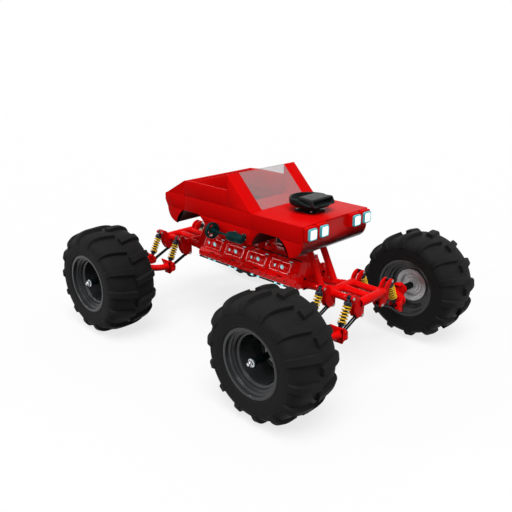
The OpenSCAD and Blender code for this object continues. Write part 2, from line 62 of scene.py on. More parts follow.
@dataclass
class Surface:
    """Grids of points gathered as arrays until they become one mesh."""

    points: list[Array] = field(default_factory=list)
    quads: list[Array] = field(default_factory=list)
    caps: list[Array] = field(default_factory=list)
    count: int = 0

    def grid(self, p: Array, around: bool = True, along: bool = False, ends: bool = True) -> "Surface":
        """Joins neighbouring points of one or many grids with four-sided faces.

        Args:
            p: points as (rows, columns, 3), or (copies, rows, columns, 3).
            around: the last column joins the first.
            along: the last row joins the first.
            ends: the first and last rows are closed with a flat cap each.

        Returns:
            This surface, so that calls can be chained.
        """
        p = p.reshape(-1, *p.shape[-3:])
        copies, rows, cols = p.shape[:3]
        i = np.arange(rows if along else rows - 1)[:, None]
        j = np.arange(cols if around else cols - 1)[None, :]
        i2, j2 = (i + 1) % rows, (j + 1) % cols
        cell = np.stack([i * cols + j, i * cols + j2, i2 * cols + j2, i2 * cols + j], -1).reshape(-1, 4)
        start = self.count + np.arange(copies)[:, None, None] * rows * cols
        self.quads.append((cell[None] + start).reshape(-1, 4))
        if ends and around and not along:
            first = np.arange(cols)[::-1]
            last = (rows - 1) * cols + np.arange(cols)
            self.caps.append((np.stack([first, last])[None] + start).reshape(-1, cols))
        self.points.append(p.reshape(-1, 3))
        self.count += copies * rows * cols
        return self

    def move(self, change: "Place") -> "Surface":
        """Returns the same faces with every point carried by a placement."""
        return Surface([change(p) for p in self.points], self.quads, self.caps, self.count)

    def add(self, *others: "Surface") -> "Surface":
        """Takes in the faces of other surfaces and returns this one."""
        for other in others:
            self.points += other.points
            self.quads += [q + self.count for q in other.quads]
            self.caps += [c + self.count for c in other.caps]
            self.count += other.count
        return self

    def mesh(self, name: str, sharp_deg: float) -> bpy.types.Mesh:
        """Writes the gathered arrays into a Blender mesh with outward faces.

        Args:
            name: the mesh's name.
            sharp_deg: edges that fold more than this stay crisp.

        Returns:
            The new mesh, its doubled points merged and its faces turned outwards.
        """
        faces = self.quads + self.caps
        corners = np.concatenate([f.ravel() for f in faces])
        sizes = np.concatenate([np.full(len(f), f.shape[1]) for f in faces])
        mesh = bpy.data.meshes.new(name)
        mesh.vertices.add(self.count)
        mesh.vertices.foreach_set("co", np.concatenate(self.points).astype(np.float32).ravel())
        mesh.loops.add(len(corners))
        mesh.loops.foreach_set("vertex_index", corners.astype(np.int32))
        mesh.polygons.add(len(sizes))
        mesh.polygons.foreach_set("loop_start", (np.cumsum(sizes) - sizes).astype(np.int32))
        mesh.update(calc_edges=True)
        mesh.validate()
        shape = bmesh.new()
        shape.from_mesh(mesh)
        bmesh.ops.remove_doubles(shape, verts=shape.verts, dist=1e-5)
        bmesh.ops.recalc_face_normals(shape, faces=shape.faces)
        shape.to_mesh(mesh)
        shape.free()
        mesh.polygons.foreach_set("use_smooth", np.ones(len(mesh.polygons), dtype=bool))
        mesh.set_sharp_from_angle(angle=math.radians(sharp_deg))
        return mesh


@dataclass(frozen=True)
class Place:
    """A placement: local axes as the rows of a matrix, then an origin."""

    origin: tuple[float, ...] = (0.0, 0.0, 0.0)
    axes: tuple[Point, Point, Point] = ((1, 0, 0), (0, 1, 0), (0, 0, 1))

    def __call__(self, p: Array) -> Array:
        """Carries points: origin plus each coordinate times its axis."""
        return np.asarray(self.origin) + np.asarray(p) @ np.asarray(self.axes, dtype=float)


def frame_along(origin: ArrayLike, target: ArrayLike) -> Place:
    """A placement whose third axis runs from origin towards target.

    Args:
        origin: where the placement starts.
        target: the point it looks at.

    Returns:
        The placement, with axes square to each other and the first one level.
    """
    w = np.asarray(target, float) - np.asarray(origin, float)
    w /= np.linalg.norm(w)
    u = np.cross((0, 0, 1), w)
    if np.linalg.norm(u) < 1e-6:
        u = np.array([1.0, 0.0, 0.0])
    u /= np.linalg.norm(u)
    return Place(tuple(origin), (tuple(u), tuple(np.cross(w, u)), tuple(w)))


def circle(count: int) -> Array:
    """Angles in radians spread evenly round a circle, the first at 0."""
    return np.linspace(0, 2 * np.pi, count, endpoint=False)


def distance(a: ArrayLike, b: ArrayLike) -> float:
    """The distance between two points."""
    return float(np.linalg.norm(np.subtract(b, a)))


def turned(profile: ArrayLike, sides: int = 48) -> Array:
    """Every [radius, height] point of a profile swept round the third axis.

    Args:
        profile: (rows, 2) radii and heights.
        sides: points round the circle.

    Returns:
        (rows, sides, 3) points.
    """
    a = circle(sides)
    r, h = np.asarray(profile, float).T[:, :, None]
    return np.stack([r * np.cos(a), r * np.sin(a), h + 0 * a], -1)


def swept(path: Array, radius: Array | float, sides: int = 16, up: Point = (0, 0, 1),
          loop: bool = False) -> Array:
    """A round section carried along a path, square to the path at each point.

    The tangent is the difference of neighbouring points, the first normal is the tangent crossed with
    up, and the second is their cross product.

    Args:
        path: (rows, 3) points.
        radius: one radius, or one for each row.
        sides: points round the section.
        up: a direction never parallel to the path.
        loop: the path closes on itself.

    Returns:
        (rows, sides, 3) points.
    """
    t = np.roll(path, -1, 0) - np.roll(path, 1, 0) if loop else np.gradient(path, axis=0)
    t /= np.linalg.norm(t, axis=1, keepdims=True)
    n = np.cross(t, up)
    n /= np.linalg.norm(n, axis=1, keepdims=True)
    b = np.cross(t, n)
    a = circle(sides)[None, :, None]
    r = np.broadcast_to(np.asarray(radius, float), len(path))[:, None, None]
    return path[:, None] + r * (n[:, None] * np.cos(a) + b[:, None] * np.sin(a))


def arc(centre: tuple[float, float], radius: float, start: float, end: float, steps: int = 24) -> Array:
    """Points on a circle from one angle to another, in degrees."""
    a = np.radians(np.linspace(start, end, steps))
    return np.stack([centre[0] + radius * np.cos(a), centre[1] + radius * np.sin(a)], -1)


def filleted(outline: ArrayLike, radius: Array | float, steps: int = 5) -> Array:
    """Rounds each corner of a closed outline with a parabola between two points on its sides.

    Args:
        outline: (n, 2) corners.
        radius: how far from the corner the rounding starts, one value or one for each corner.
        steps: points on each rounding.

    Returns:
        (n * steps, 2) points.
    """
    p = np.asarray(outline, float)
    back, ahead = np.roll(p, 1, 0) - p, np.roll(p, -1, 0) - p
    lb, la = np.linalg.norm(back, axis=1), np.linalg.norm(ahead, axis=1)
    r = np.minimum(np.broadcast_to(radius, len(p)), 0.49 * np.minimum(lb, la))
    a, b = p + back * (r / lb)[:, None], p + ahead * (r / la)[:, None]
    t = np.linspace(0, 1, steps)[None, :, None]
    return ((1 - t) ** 2 * a[:, None] + 2 * t * (1 - t) * p[:, None] + t ** 2 * b[:, None]).reshape(-1, 2)


def shrunk(outline: Array, by: float) -> Array:
    """Moves each side of a closed outline inwards by a distance, corners mitred."""
    e = np.roll(outline, -1, 0) - outline
    keep = np.linalg.norm(e, axis=1, keepdims=True)
    n = np.stack([e[:, 1], -e[:, 0]], -1) / np.maximum(keep, 1e-9)
    x, y = outline.T
    turn = np.sign(np.sum(x * np.roll(y, -1) - np.roll(x, -1) * y))
    before = np.roll(n, 1, 0)
    scale = np.maximum(1 + np.sum(n * before, 1, keepdims=True), 0.35)
    return outline - turn * by * (n + before) / scale


def slab(outline: Array, low: float, high: float, edge: float = 0.003, steps: int = 3) -> Array:
    """An outline carried from low to high along the third axis, its rims rounded to a quarter circle.

    Args:
        outline: (n, 2) points.
        low: start of the slab.
        high: end of the slab.
        edge: radius of the rounded rims.
        steps: rows in each rounding.

    Returns:
        (2 * steps, n, 3) points.
    """
    a = np.linspace(0, np.pi / 2, steps)
    inset = edge * (1 - np.sin(a))
    rise = edge * (1 - np.cos(a))
    insets = np.concatenate([inset, inset[::-1]])
    heights = np.concatenate([low + rise, high - rise[::-1]])
    rings = np.stack([shrunk(outline, d) for d in insets])
    return np.concatenate([rings, np.broadcast_to(heights[:, None, None], (*rings.shape[:2], 1))], -1)


def box_outline(x0: float, x1: float, y0: float, y1: float) -> Array:
    """Four corners of an upright box, anticlockwise."""
    return np.array([[x0, y0], [x1, y0], [x1, y1], [x0, y1]])


def block(low: Point, high: Point, corner: float = 0.006, edge: float = 0.003) -> Array:
    """A box with rounded upright corners and rounded rims, as an outline carried up."""
    outline = filleted(box_outline(low[0], high[0], low[1], high[1]), corner)
    return slab(outline, low[2], high[2], edge)


def tube_between(a: Array, b: Array, radius: float, edge: float = 0.003, sides: int = 40) -> Array:
    """A straight round bar with rounded rims between two points."""
    length = distance(a, b)
    profile = [[radius - edge, 0], [radius - 0.3 * edge, 0.3 * edge], [radius, edge],
               [radius, length - edge], [radius - 0.3 * edge, length - 0.3 * edge], [radius - edge, length]]
    return frame_along(a, b)(turned(profile, sides))


def bolts(places: list[Place], across: float, head: float, washer: float = 0.0) -> Surface:
    """Chamfered hexagon heads on round washers, standing on each placement's third axis.

    Args:
        places: where each bolt stands.
        across: width over the corners of the head.
        head: height of the head.
        washer: thickness of the washer under it.

    Returns:
        The heads and washers.
    """
    r = across / 2
    hexagon = turned([[r, washer], [r, washer + 0.8 * head], [0.82 * r, washer + head]], 6)
    disc = turned([[1.25 * r, 0], [1.25 * r, washer]], 20)
    out = Surface()
    out.grid(np.stack([p(hexagon) for p in places]))
    if washer:
        out.grid(np.stack([p(disc) for p in places]))
    return out


def weld_ring(place: Place, radius: float, thick: float = 0.006, ripples: int = 44) -> Array:
    """A closed weld bead: a thin torus whose section swells and shrinks as the welder's dabs did.

    Args:
        place: the ring's centre, its third axis square to the ring.
        radius: radius of the ring.
        thick: mean radius of the bead.
        ripples: number of dabs.

    Returns:
        (rows, sides, 3) points that close both ways.
    """
    a = circle(ripples * 4)
    path = np.stack([radius * np.cos(a), radius * np.sin(a), 0 * a], -1)
    return place(swept(path, thick * (1 + 0.22 * np.abs(np.sin(a * ripples / 2))), 8, loop=True))


# ---------- finishes ----------

def linear(hex_colour: str) -> tuple[float, float, float, float]:
    """An sRGB hex colour as the linear values that shaders take."""
    s = np.array([int(hex_colour[i:i + 2], 16) / 255 for i in (1, 3, 5)])
    v = np.where(s <= 0.04045, s / 12.92, ((s + 0.055) / 1.055) ** 2.4)
    return (*(float(c) for c in v), 1.0)


def add(tree: bpy.types.NodeTree, kind: str, into: dict[str, object] | None = None,
        **settings: object) -> bpy.types.Node:
    """Adds a node with its settings and what goes into its sockets.

    Args:
        tree: the node tree.
        kind: the node's type name without its first word, ShaderNode.
        into: socket name or number to a value, or to the output socket that feeds it.
        settings: attributes of the node itself.

    Returns:
        The new node.
    """
    node = tree.nodes.new("ShaderNode" + kind)
    for name, value in settings.items():
        setattr(node, name, value)
    for key, value in (into or {}).items():
        socket = node.inputs[key]
        if isinstance(value, bpy.types.NodeSocket):
            tree.links.new(value, socket)
        else:
            socket.default_value = value
    return node


@dataclass(frozen=True)
class Finish:
    """A solid surface: two close colours, a roughness range and a fine relief, all from real sizes."""

    name: str
    slot: str
    colour: str
    second: str
    patch_mm: float = 300.0
    grain_mm: float = 4.0
    relief_mm: float = 0.05
    rough: tuple[float, float] = (0.3, 0.4)
    metallic: float = 0.0
    ior: float = 1.5
    specular: float = 0.3
    alpha: float = 1.0
    glow: float = 0.0

    def pattern(self, tree: bpy.types.NodeTree, size_mm: float, detail: float) -> bpy.types.Node:
        """Noise on the piece's own coordinates whose lumps are about size_mm across."""
        where = add(tree, "TexCoord")
        return add(tree, "TexNoise", {"Vector": where.outputs["Object"], "Scale": 1 / (size_mm * MM),
                                                "Detail": detail, "Roughness": 0.55})

    def relief(self, tree: bpy.types.NodeTree) -> bpy.types.NodeSocket:
        """The height that stands off the surface, from 0 to 1."""
        return self.pattern(tree, self.grain_mm, 3).outputs["Fac"]

    def over(self, tree: bpy.types.NodeTree, colour: bpy.types.NodeSocket) -> bpy.types.NodeSocket:
        """What lies over the colour: nothing on a plain finish."""
        return colour

    def material(self) -> bpy.types.Material:
        """Builds the node tree once and returns the same material after that.

        Returns:
            The material, named for what the surface is.
        """
        if self.name in bpy.data.materials:
            return bpy.data.materials[self.name]
        made = bpy.data.materials.new(self.name)
        made.use_nodes = True
        tree = made.node_tree
        shader = tree.nodes["Principled BSDF"]
        patches = self.pattern(tree, self.patch_mm, 4).outputs["Fac"]
        spread = add(tree, "MapRange", {"Value": patches, "From Min": 0.35, "From Max": 0.65})
        tint = add(tree, "Mix", {0: spread.outputs["Result"], 6: linear(self.colour),
                                 7: linear(self.second)}, data_type="RGBA")
        gloss = add(tree, "MapRange", {"Value": patches, "From Min": 0.3, "From Max": 0.7,
                                                 "To Min": self.rough[0], "To Max": self.rough[1]})
        bump = add(tree, "Bump", {"Height": self.relief(tree), "Distance": self.relief_mm * MM,
                                            "Strength": 1.0})
        tree.links.new(self.over(tree, tint.outputs[2]), shader.inputs["Base Color"])
        tree.links.new(gloss.outputs["Result"], shader.inputs["Roughness"])
        tree.links.new(bump.outputs["Normal"], shader.inputs["Normal"])
        constants = {"Metallic": self.metallic, "Alpha": self.alpha, "Emission Strength": self.glow}
        if not self.metallic:
            constants["IOR"] = self.ior
            constants["Specular IOR Level"] = self.specular
        for key, value in constants.items():
            shader.inputs[key].default_value = value
        shader.inputs["Emission Color"].default_value = linear(self.colour)
        made.diffuse_color = linear(self.colour)
        return made


@dataclass(frozen=True)
class ShadedBelowFinish(Finish):
    """A finish painted dark over its lower part and fading out between two heights: painted shade on faces
    that turn downwards.
    """

    # the dark colour and the heights where it fades: painted shade under the rolled edge
    painted_shade: str = "#0B0909"
    fade: tuple[float, float] = (1.78, 1.98)

    def over(self, tree: bpy.types.NodeTree, colour: bpy.types.NodeSocket) -> bpy.types.NodeSocket:
        """Mixes the painted shade in below the fade, by height."""
        where = add(tree, "TexCoord")
        height = add(tree, "SeparateXYZ", {0: where.outputs["Object"]}).outputs["Z"]
        share = add(tree, "MapRange", {"Value": height, "From Min": self.fade[0], "From Max": self.fade[1]},
                    interpolation_type="SMOOTHSTEP")
        mixed = add(tree, "Mix", {0: share.outputs["Result"], 6: linear(self.painted_shade), 7: colour},
                    data_type="RGBA")
        return mixed.outputs[2]


@dataclass(frozen=True)
class TurnedFinish(Finish):
    """Lathe-turned metal: fine rings about the wheel's axle, drawn coarse enough to show."""

    axle: tuple[float, float, float] = (0.0, 0.0, 0.0)
    ring_mm: float = 9.0

    def relief(self, tree: bpy.types.NodeTree) -> bpy.types.NodeSocket:
        """Rings at a real spacing round the axle."""
        where = add(tree, "TexCoord")
        centred = add(tree, "VectorMath", {0: where.outputs["Object"], 1: self.axle}, operation="SUBTRACT")
        flat = add(tree, "VectorMath", {0: centred.outputs["Vector"], 1: (1.0, 0.0, 1.0)},
                   operation="MULTIPLY")
        rings = add(tree, "TexWave", {"Vector": flat.outputs["Vector"],
                                                "Scale": 0.31 / (self.ring_mm * MM), "Distortion": 0.4},
                    wave_type="RINGS", rings_direction="SPHERICAL")
        return rings.outputs["Fac"]


class Finishes:
    """Every finish on the truck, named for the real material and how its surface was made."""

    # sprayed and polished gelcoat over glass fibre: deep red, glossy, with a faint ripple
    gelcoat = Finish("gelcoat_polished_red", "red_body", "#E90D0D", "#E40A0A", 900, 60, 0.25, (0.26, 0.34),
                     ior=1.16, specular=0.08)
    # the same gelcoat with its rolled lower edge painted dark: painted shade where the roll turns under
    shaded_roll = ShadedBelowFinish("gelcoat_stone_guarded", "red_body", "#E90D0D", "#E40A0A", 900, 60, 0.25,
                            (0.2, 0.3), ior=1.3, specular=0.4)
    # the same laminate seen from inside: no polish, so wider and softer light; its red is painted lighter
    # than the outside, painted light on the shaded inside of the tub
    laminate = Finish("gelcoat_inside_red", "red_body", "#FA1010", "#F40C0C", 260, 14, 0.3, (0.24, 0.34),
                      ior=1.3, specular=0.3)
    # dark paint, faintly red, on the arch liners and the floor pan: painted shade on faces that look down
    underside_shade = Finish("underseal_sprayed_dark", "red_body", "#431616", "#381414", 160, 9, 0.5, (0.35, 0.5),
                       ior=1.3, specular=0.3)
    # powder coat baked on steel tube: bright red, a fine even texture
    powder_red = Finish("powder_coat_red", "red_chassis", "#F80A0A", "#F00808", 420, 5, 0.10, (0.3, 0.4),
                        ior=1.2, specular=0.3)
    # brushed-on engine enamel: red, wet looking, runs out in soft waves; it glows faintly in its own red,
    # painted light that lifts the shaded engine
    enamel = Finish("engine_enamel_red", "red_engine", "#FF0A0A", "#FA0809", 180, 26, 0.12, (0.16, 0.22),
                    ior=1.3, specular=0.5, glow=0.08)
    # satin black powder coat on links, brackets and shafts
    powder_black = Finish("powder_coat_black", "black_coat", "#071212", "#0A1717", 120, 4, 0.12,
                          (0.35, 0.5), specular=0.12)
    # phosphated and oiled steel of the side drive: black with a green-blue cast
    phosphate = Finish("steel_phosphated_oiled", "black_coat", "#013030", "#022A2A", 90, 3, 0.08,
                       (0.4, 0.5), specular=0.08)
    # hard anodised damper bodies: near black with a blue cast and a tight shine
    anodised = Finish("anodised_blue_black", "black_coat", "#06061A", "#090922", 90, 3, 0.04, (0.22, 0.3),
                      specular=0.3)
    # badge bars and pipe sleeves in a pale cyan metal that also glows: painted glints on small glossy parts
    painted_glint = Finish("stainless_polished_cool", "hub_alloy", "#8FF4FC", "#A8F8FF", 40, 2, 0.02, (0.12, 0.18),
                   metallic=0.6, glow=0.25)
    # powder-coated spring wire: warm yellow
    spring = Finish("powder_coat_yellow", "yellow_spring", "#FFD015", "#F9C40E", 60, 4, 0.08, (0.3, 0.4))
    # moulded tyre rubber: charcoal, matt, with a dusty bloom in patches and a fine mould grain
    rubber = Finish("tyre_rubber_moulded", "rubber_tyre", "#1C1C1C", "#222222", 160, 7, 0.5, (0.6, 0.75),
                    specular=0.08)
    # pressed steel rims in gloss charcoal enamel: dark, with sharp rings of light on the steps
    rim = Finish("rim_enamel_charcoal", "rim_paint", "#38393B", "#303133", 200, 8, 0.06, (0.12, 0.18),
                 specular=0.35)
    # zinc plated bolts and nuts: grey, slightly yellow, scuffed
    zinc = Finish("zinc_plated_steel", "hub_alloy", "#B9BABA", "#A3A4A0", 18, 1.5, 0.05, (0.3, 0.45),
                  metallic=1.0)
    # hard chrome on polished steel, on the axles' nuts: nearly a mirror
    chrome = Finish("hard_chrome_rod", "hub_alloy", "#D8DADC", "#CFD2D6", 60, 2, 0.01, (0.08, 0.14),
                    metallic=1.0)
    # laminated windscreen with a pale tint: the cab shows through it washed with grey
    glass = Finish("laminated_glass_pale", "screen_glass", "#B2A5A6", "#AEA1A2", 600, 200, 0.02,
                   (0.04, 0.06), alpha=0.37, ior=1.2)
    # lit prism lens of a lamp: white
    lens = Finish("lamp_lens_lit", "lamp_glass", "#F6FEFF", "#FFFFFF", 40, 9, 0.4, (0.1, 0.15), glow=0.9)
    # tinted rim of the lens: clear acrylic that gathers a cyan edge colour
    lens_rim = Finish("lamp_acrylic_cyan", "lamp_glass", "#4FB6C2", "#58C4CE", 40, 9, 0.05, (0.12, 0.16),
                      glow=0.15)
    # injection-moulded nylon of the intake pan: black with a fine spark texture
    nylon = Finish("nylon_moulded_black", "intake_plastic", "#041010", "#071414", 80, 3, 0.12, (0.3, 0.42),
                   ior=1.25, specular=0.3)
    # dark grey moulded scoop
    scoop = Finish("nylon_moulded_grey", "intake_plastic", "#262829", "#222425", 80, 3, 0.12, (0.35, 0.45),
                   ior=1.25, specular=0.3)
    # heat-formed marine vinyl over foam
    vinyl = Finish("vinyl_embossed_black", "seat_vinyl", "#18191A", "#202122", 60, 5, 0.35, (0.4, 0.55))

    @staticmethod
    def turned_alloy(tag: str, axle: Point) -> TurnedFinish:
        """Lathe-turned aluminium centred on one wheel's axle."""
        return TurnedFinish(f"turned_alloy_{tag}", "hub_alloy", "#DADBDC", "#CCCDCF", 120, 2, 0.06,
                            (0.3, 0.42), metallic=0.3, axle=axle)


# ---------- pieces ----------

CHASSIS = "chassis"
# folds over this many degrees stay crisp, by how the piece is made
PRESSED_FOLD = 24.0
MACHINED_FOLD = 26.0
MOULDED_FOLD = 28.0
TURNED_FOLD = 30.0
CRISP_FOLD = 32.0
DOME_FOLD = 50.0
PADDED_FOLD = 60.0


def publish(name: str, surface: Surface, finish: Finish, replaces: str = "", sharp_deg: float = CRISP_FOLD,
            body: str = CHASSIS) -> bpy.types.Object:
    """Makes a surface an object that rides on a body of the frame.

    Args:
        name: the piece's name.
        surface: its gathered grids.
        finish: its material.
        replaces: the CAD node that it stands for, if any.
        sharp_deg: folds over this stay crisp.
        body: the body that it moves with.

    Returns:
        The new object.
    """
    piece = bpy.data.objects.new(name, surface.mesh(name, sharp_deg))
    bpy.context.scene.collection.objects.link(piece)
    piece.data.materials.append(finish.material())
    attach(piece, body)
    if replaces:
        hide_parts(replaces)
    log.info("piece %s: %d faces", name, len(piece.data.polygons))
    return piece


def dress(node: str, finish: Finish) -> None:
    """Gives a CAD node that stays as it is its finish."""
    for slot in frame["nodes"][node].material_slots:
        slot.material = finish.material()


@dataclass(frozen=True)
class Corner:
    """One wheel position, read from the joints of the frame."""

    tag: str
    fore: int
    side: int
    hub: Point
    kingpin: Point

    @property
    def local(self) -> Place:
        """Wheel coordinates: forwards, outboard and up, from the wheel's centre."""
        return Place(self.hub, ((1, 0, 0), (0, self.side, 0), (0, 0, 1)))

    @property
    def axle(self) -> Place:
        """Turned coordinates: the third axis runs outboard along the axle, the first forwards."""
        return Place(self.hub, ((1, 0, 0), (0, 0, 1), (0, self.side, 0)))

    @property
    def truck(self) -> Place:
        """Corner coordinates: forwards from the axle, outboard from the centre line, up from the ground."""
        return Place((self.hub[0], 0, 0), ((1, 0, 0), (0, self.side, 0), (0, 0, 1)))

    @staticmethod
    def all() -> list["Corner"]:
        """The four corners, from the steering and rolling joints."""
        joints = {j["name"]: j for j in frame["record"]["behaviour"]["joints"]}
        signs = {"fr": (1, -1), "fl": (1, 1), "rr": (-1, -1), "rl": (-1, 1)}
        return [Corner(tag, fore, side, tuple(joints[f"roll_{tag}"]["pos_m"]),
                       tuple(joints[f"steer_{tag}"]["pos_m"])) for tag, (fore, side) in signs.items()]


def facing_fore(origin: Point = (0.0, 0.0, 0.0), fore: int = 1) -> Place:
    """A placement whose third axis runs forwards, or backwards at -1."""
    return Place(origin, ((0, 1, 0), (0, 0, 1), (fore, 0, 0)))


def facing_side(origin: Point, side: int = 1) -> Place:
    """A placement whose third axis runs to a side: +1 is the left."""
    return Place(origin, ((1, 0, 0), (0, 0, 1), (0, side, 0)))


def pair(side: int, near: float, far: float) -> list[float]:
    """Two distances from the centre line as coordinates on one side, the lower first."""
    return sorted((side * near, side * far))


def stacked(rows: list[tuple[Array, float]]) -> Array:
    """Outlines with their heights as one grid of (rows, n, 3) points."""
    return np.stack([np.concatenate([o, np.full((len(o), 1), h)], -1) for o, h in rows])


# placements of flat outlines: [y, z] carried along X, and [x, z] carried along Y
ACROSS = facing_fore()
ALONG = Place(axes=((1, 0, 0), (0, 0, 1), (0, 1, 0)))


def shifted(place: Place, by: Point) -> Place:
    """The same placement with its origin moved by an offset given in its own axes."""
    return Place(tuple(place(np.array(by, float))), place.axes)


def ring_of(place: Place, radius: float, count: int, height: float) -> list[Place]:
    """Placements spread round a circle, all facing along the third axis.

    Args:
        place: the circle's placement.
        radius: radius of the circle.
        count: how many.
        height: where they stand along the third axis.

    Returns:
        One placement for each.
    """
    a = circle(count)
    return [shifted(place, (radius * math.cos(t), radius * math.sin(t), height)) for t in a]


# ---------- wheels ----------

@dataclass
class Tyre:
    """A wide paddle tyre: a casing with two raised rings and two staggered rows of lugs."""

    corner: Corner
    turn_deg: float
    lugs: int = 14
    centre_r: float = 0.600
    casing: tuple[float, float, float] = (0.408, 0.183, 3.0)
    crown: tuple[float, float, float] = (0.420, 0.238, 3.25)
    bead: tuple[float, float] = (0.4343, 0.4594)
    bead_y: float = 0.3807
    lead_deg: float = 5.2
    lead_y: float = 0.38
    half_width: tuple[float, float] = (0.044, 0.051)
    splay: float = 0.014
    rounding: float = 0.006

    def section(self, phi: Array, size: tuple[float, float, float]) -> Array:
        """A superellipse in polar form: the distance from the section's centre at angle phi is
        (|cos/a|^n + |sin/b|^n)^(-1/n). Returns [radius, outboard] points."""
        a, b, n = size
        rho = (np.abs(np.cos(phi) / a) ** n + np.abs(np.sin(phi) / b) ** n) ** (-1 / n)
        return np.stack([self.centre_r + rho * np.sin(phi), rho * np.cos(phi)], -1)

    def casing_points(self) -> Array:
        """The closed section of the casing carried round the axle.

        Returns:
            (rows, columns, 3) points, from the outboard bead over the crown and back inside.
        """
        r = np.linspace(self.bead[1], self.centre_r, 42)[:-1]
        drop = 0.016 * ((self.centre_r - r) / (self.centre_r - self.bead[1])) ** 2
        wall = np.stack([r, self.casing[0] - drop], -1)
        t = np.linspace(0, 1, 101)
        over = self.section(np.pi * (t - 0.7 * np.sin(2 * np.pi * t) / (2 * np.pi)), self.casing)
        outer = np.concatenate([wall, over, (wall * [1, -1])[::-1]])
        ribs = 0.006 * np.exp(-((outer[:, 0] - 0.486) / 0.006) ** 2) \
            + 0.005 * np.exp(-((outer[:, 0] - 0.652) / 0.005) ** 2)
        outer[:, 1] += np.sign(outer[:, 1]) * ribs
        toe, seat = self.bead
        side = np.array([[toe, self.bead_y - 0.05], [toe, self.bead_y], [seat, self.bead_y]])
        inside = self.section(np.linspace(np.pi, 0, 40), (0.365, 0.135, 3.0))
        profile = np.concatenate([side, outer, (side * [1, -1])[::-1], inside])
        return self.corner.axle(turned(profile, 160))

    def lug_points(self, outboard: int) -> Array:
        """One row of lugs as closed bars that follow the section from the crown's middle to the side.

        Each row of a bar lies at an angle of the section, each column at a width and a height between
        the casing (0) and the crown envelope (1). The angle round the axle is the row's start plus a
        lead that grows with the distance from the middle, so the outer ends roll ahead.

        Args:
            outboard: +1 for the outboard row, -1 for the inboard one.

        Returns:
            (lugs, rows, columns, 3) points.
        """
        end, start, slope = np.radians([7.0, 88.6, 1.3])
        inner = np.linspace(end, start, 26)
        phi = np.concatenate([[end - slope], inner, [start + slope]])
        low = -0.15
        rise = np.concatenate([[low], np.ones(26), [low]])
        grow = np.concatenate([[0.004], np.zeros(26), [0.004]])
        width = np.interp(phi, [end, start], self.half_width) + grow
        tall = np.linalg.norm(self.section(phi, self.crown) - self.section(phi, self.casing), axis=1)
        cut = self.rounding / tall
        edge = self.rounding
        across = np.stack([-width - self.splay, -width, -width + edge, width - edge, width,
                           width + self.splay], -1)
        height = np.stack([0 * cut + low, 1 - cut, 1 + 0 * cut, 1 + 0 * cut, 1 - cut, 0 * cut + low], -1)
        height = np.minimum(height, rise[:, None])
        mix = (1 - height)[..., None] * self.section(phi, self.casing)[:, None] \
            + height[..., None] * self.section(phi, self.crown)[:, None]
        r, y = mix[..., 0], mix[..., 1]
        first = math.radians(self.turn_deg) - (outboard < 0) * np.pi / self.lugs
        starts = first + np.arange(self.lugs) * 2 * np.pi / self.lugs
        lead = math.radians(self.lead_deg) * np.clip(np.abs(y) / self.lead_y, 0, 1)
        theta = starts[:, None, None] + (lead + across / r)[None]
        r, y = np.broadcast_to(r, theta.shape), np.broadcast_to(outboard * y, theta.shape)
        return self.corner.axle(np.stack([r * np.cos(theta), r * np.sin(theta), y], -1))

    def build(self) -> None:
        """Publishes the tyre as one moulded piece."""
        shape = Surface().grid(self.casing_points(), along=True)
        for outboard in (1, -1):
            shape.grid(self.lug_points(outboard))
        tag = self.corner.tag
        publish(f"tyre_{tag}_rubber", shape, Finishes.rubber, f"tyre_{tag}", MOULDED_FOLD,
                f"wheel_{tag}")


@dataclass
class Rim:
    """A deep stepped steel rim with rolled edges and a centre web."""

    corner: Corner
    clear_r: float = 0.419
    half: float = 0.390
    web_r: float = 0.3185
    web_in_r: float = 0.235
    web: tuple[float, float] = (-0.168, -0.154)
    bolt_count: int = 20

    def profile(self) -> Array:
        """The rim's closed section of [radius, outboard] corners, every corner rounded."""
        lip, bead, t = self.clear_r + 0.040, self.clear_r + 0.015, 0.012
        step = self.web_r + 0.034
        outer = [[lip, self.half - 0.001], [lip, self.half - 0.009], [bead, self.half - 0.009],
                 [bead, 0.308], [step + t, 0.308], [step + t, 0.228], [self.web_r + t, 0.228]]
        inner = [[self.clear_r, 0.330], [self.clear_r - 0.026, 0.322], [self.clear_r - 0.026, 0.300],
                 [step + 0.004, 0.292], [step, 0.250], [self.web_r + 0.004, 0.240], [self.web_r, 0.215]]
        low, high = self.web
        web = [[self.web_r, low], [self.web_in_r, low], [self.web_in_r, high], [self.web_r, high]]
        whole = [*outer, *[[r, -y] for r, y in reversed(outer)], [self.clear_r, -self.half],
                 *[[r, -y] for r, y in inner], *web, *reversed(inner), [self.clear_r, self.half]]
        return filleted(whole, 0.007, 4)

    def build(self) -> None:
        """Publishes the rim, then the bolts that hold its web to the brake disc."""
        tag, body = self.corner.tag, f"wheel_{self.corner.tag}"
        shape = Surface().grid(self.corner.axle(turned(self.profile(), 108)), along=True)
        q = circle(10)
        for side in (-1, 1):
            roll = np.stack([self.clear_r + 0.004 + 0.006 * np.cos(q), side * (self.half - 0.006) + 0.006
                             * np.sin(q)], -1)
            shape.grid(self.corner.axle(turned(roll, 108)), along=True)
        publish(f"rim_{tag}_barrel", shape, Finishes.rim, f"rim_{tag}", PRESSED_FOLD, body)
        heads = ring_of(self.corner.axle, self.web_in_r + 0.011, self.bolt_count, self.web[1])
        publish(f"rim_{tag}_bolts", bolts(heads, 0.020, 0.010, 0.002), Finishes.zinc, body=body)


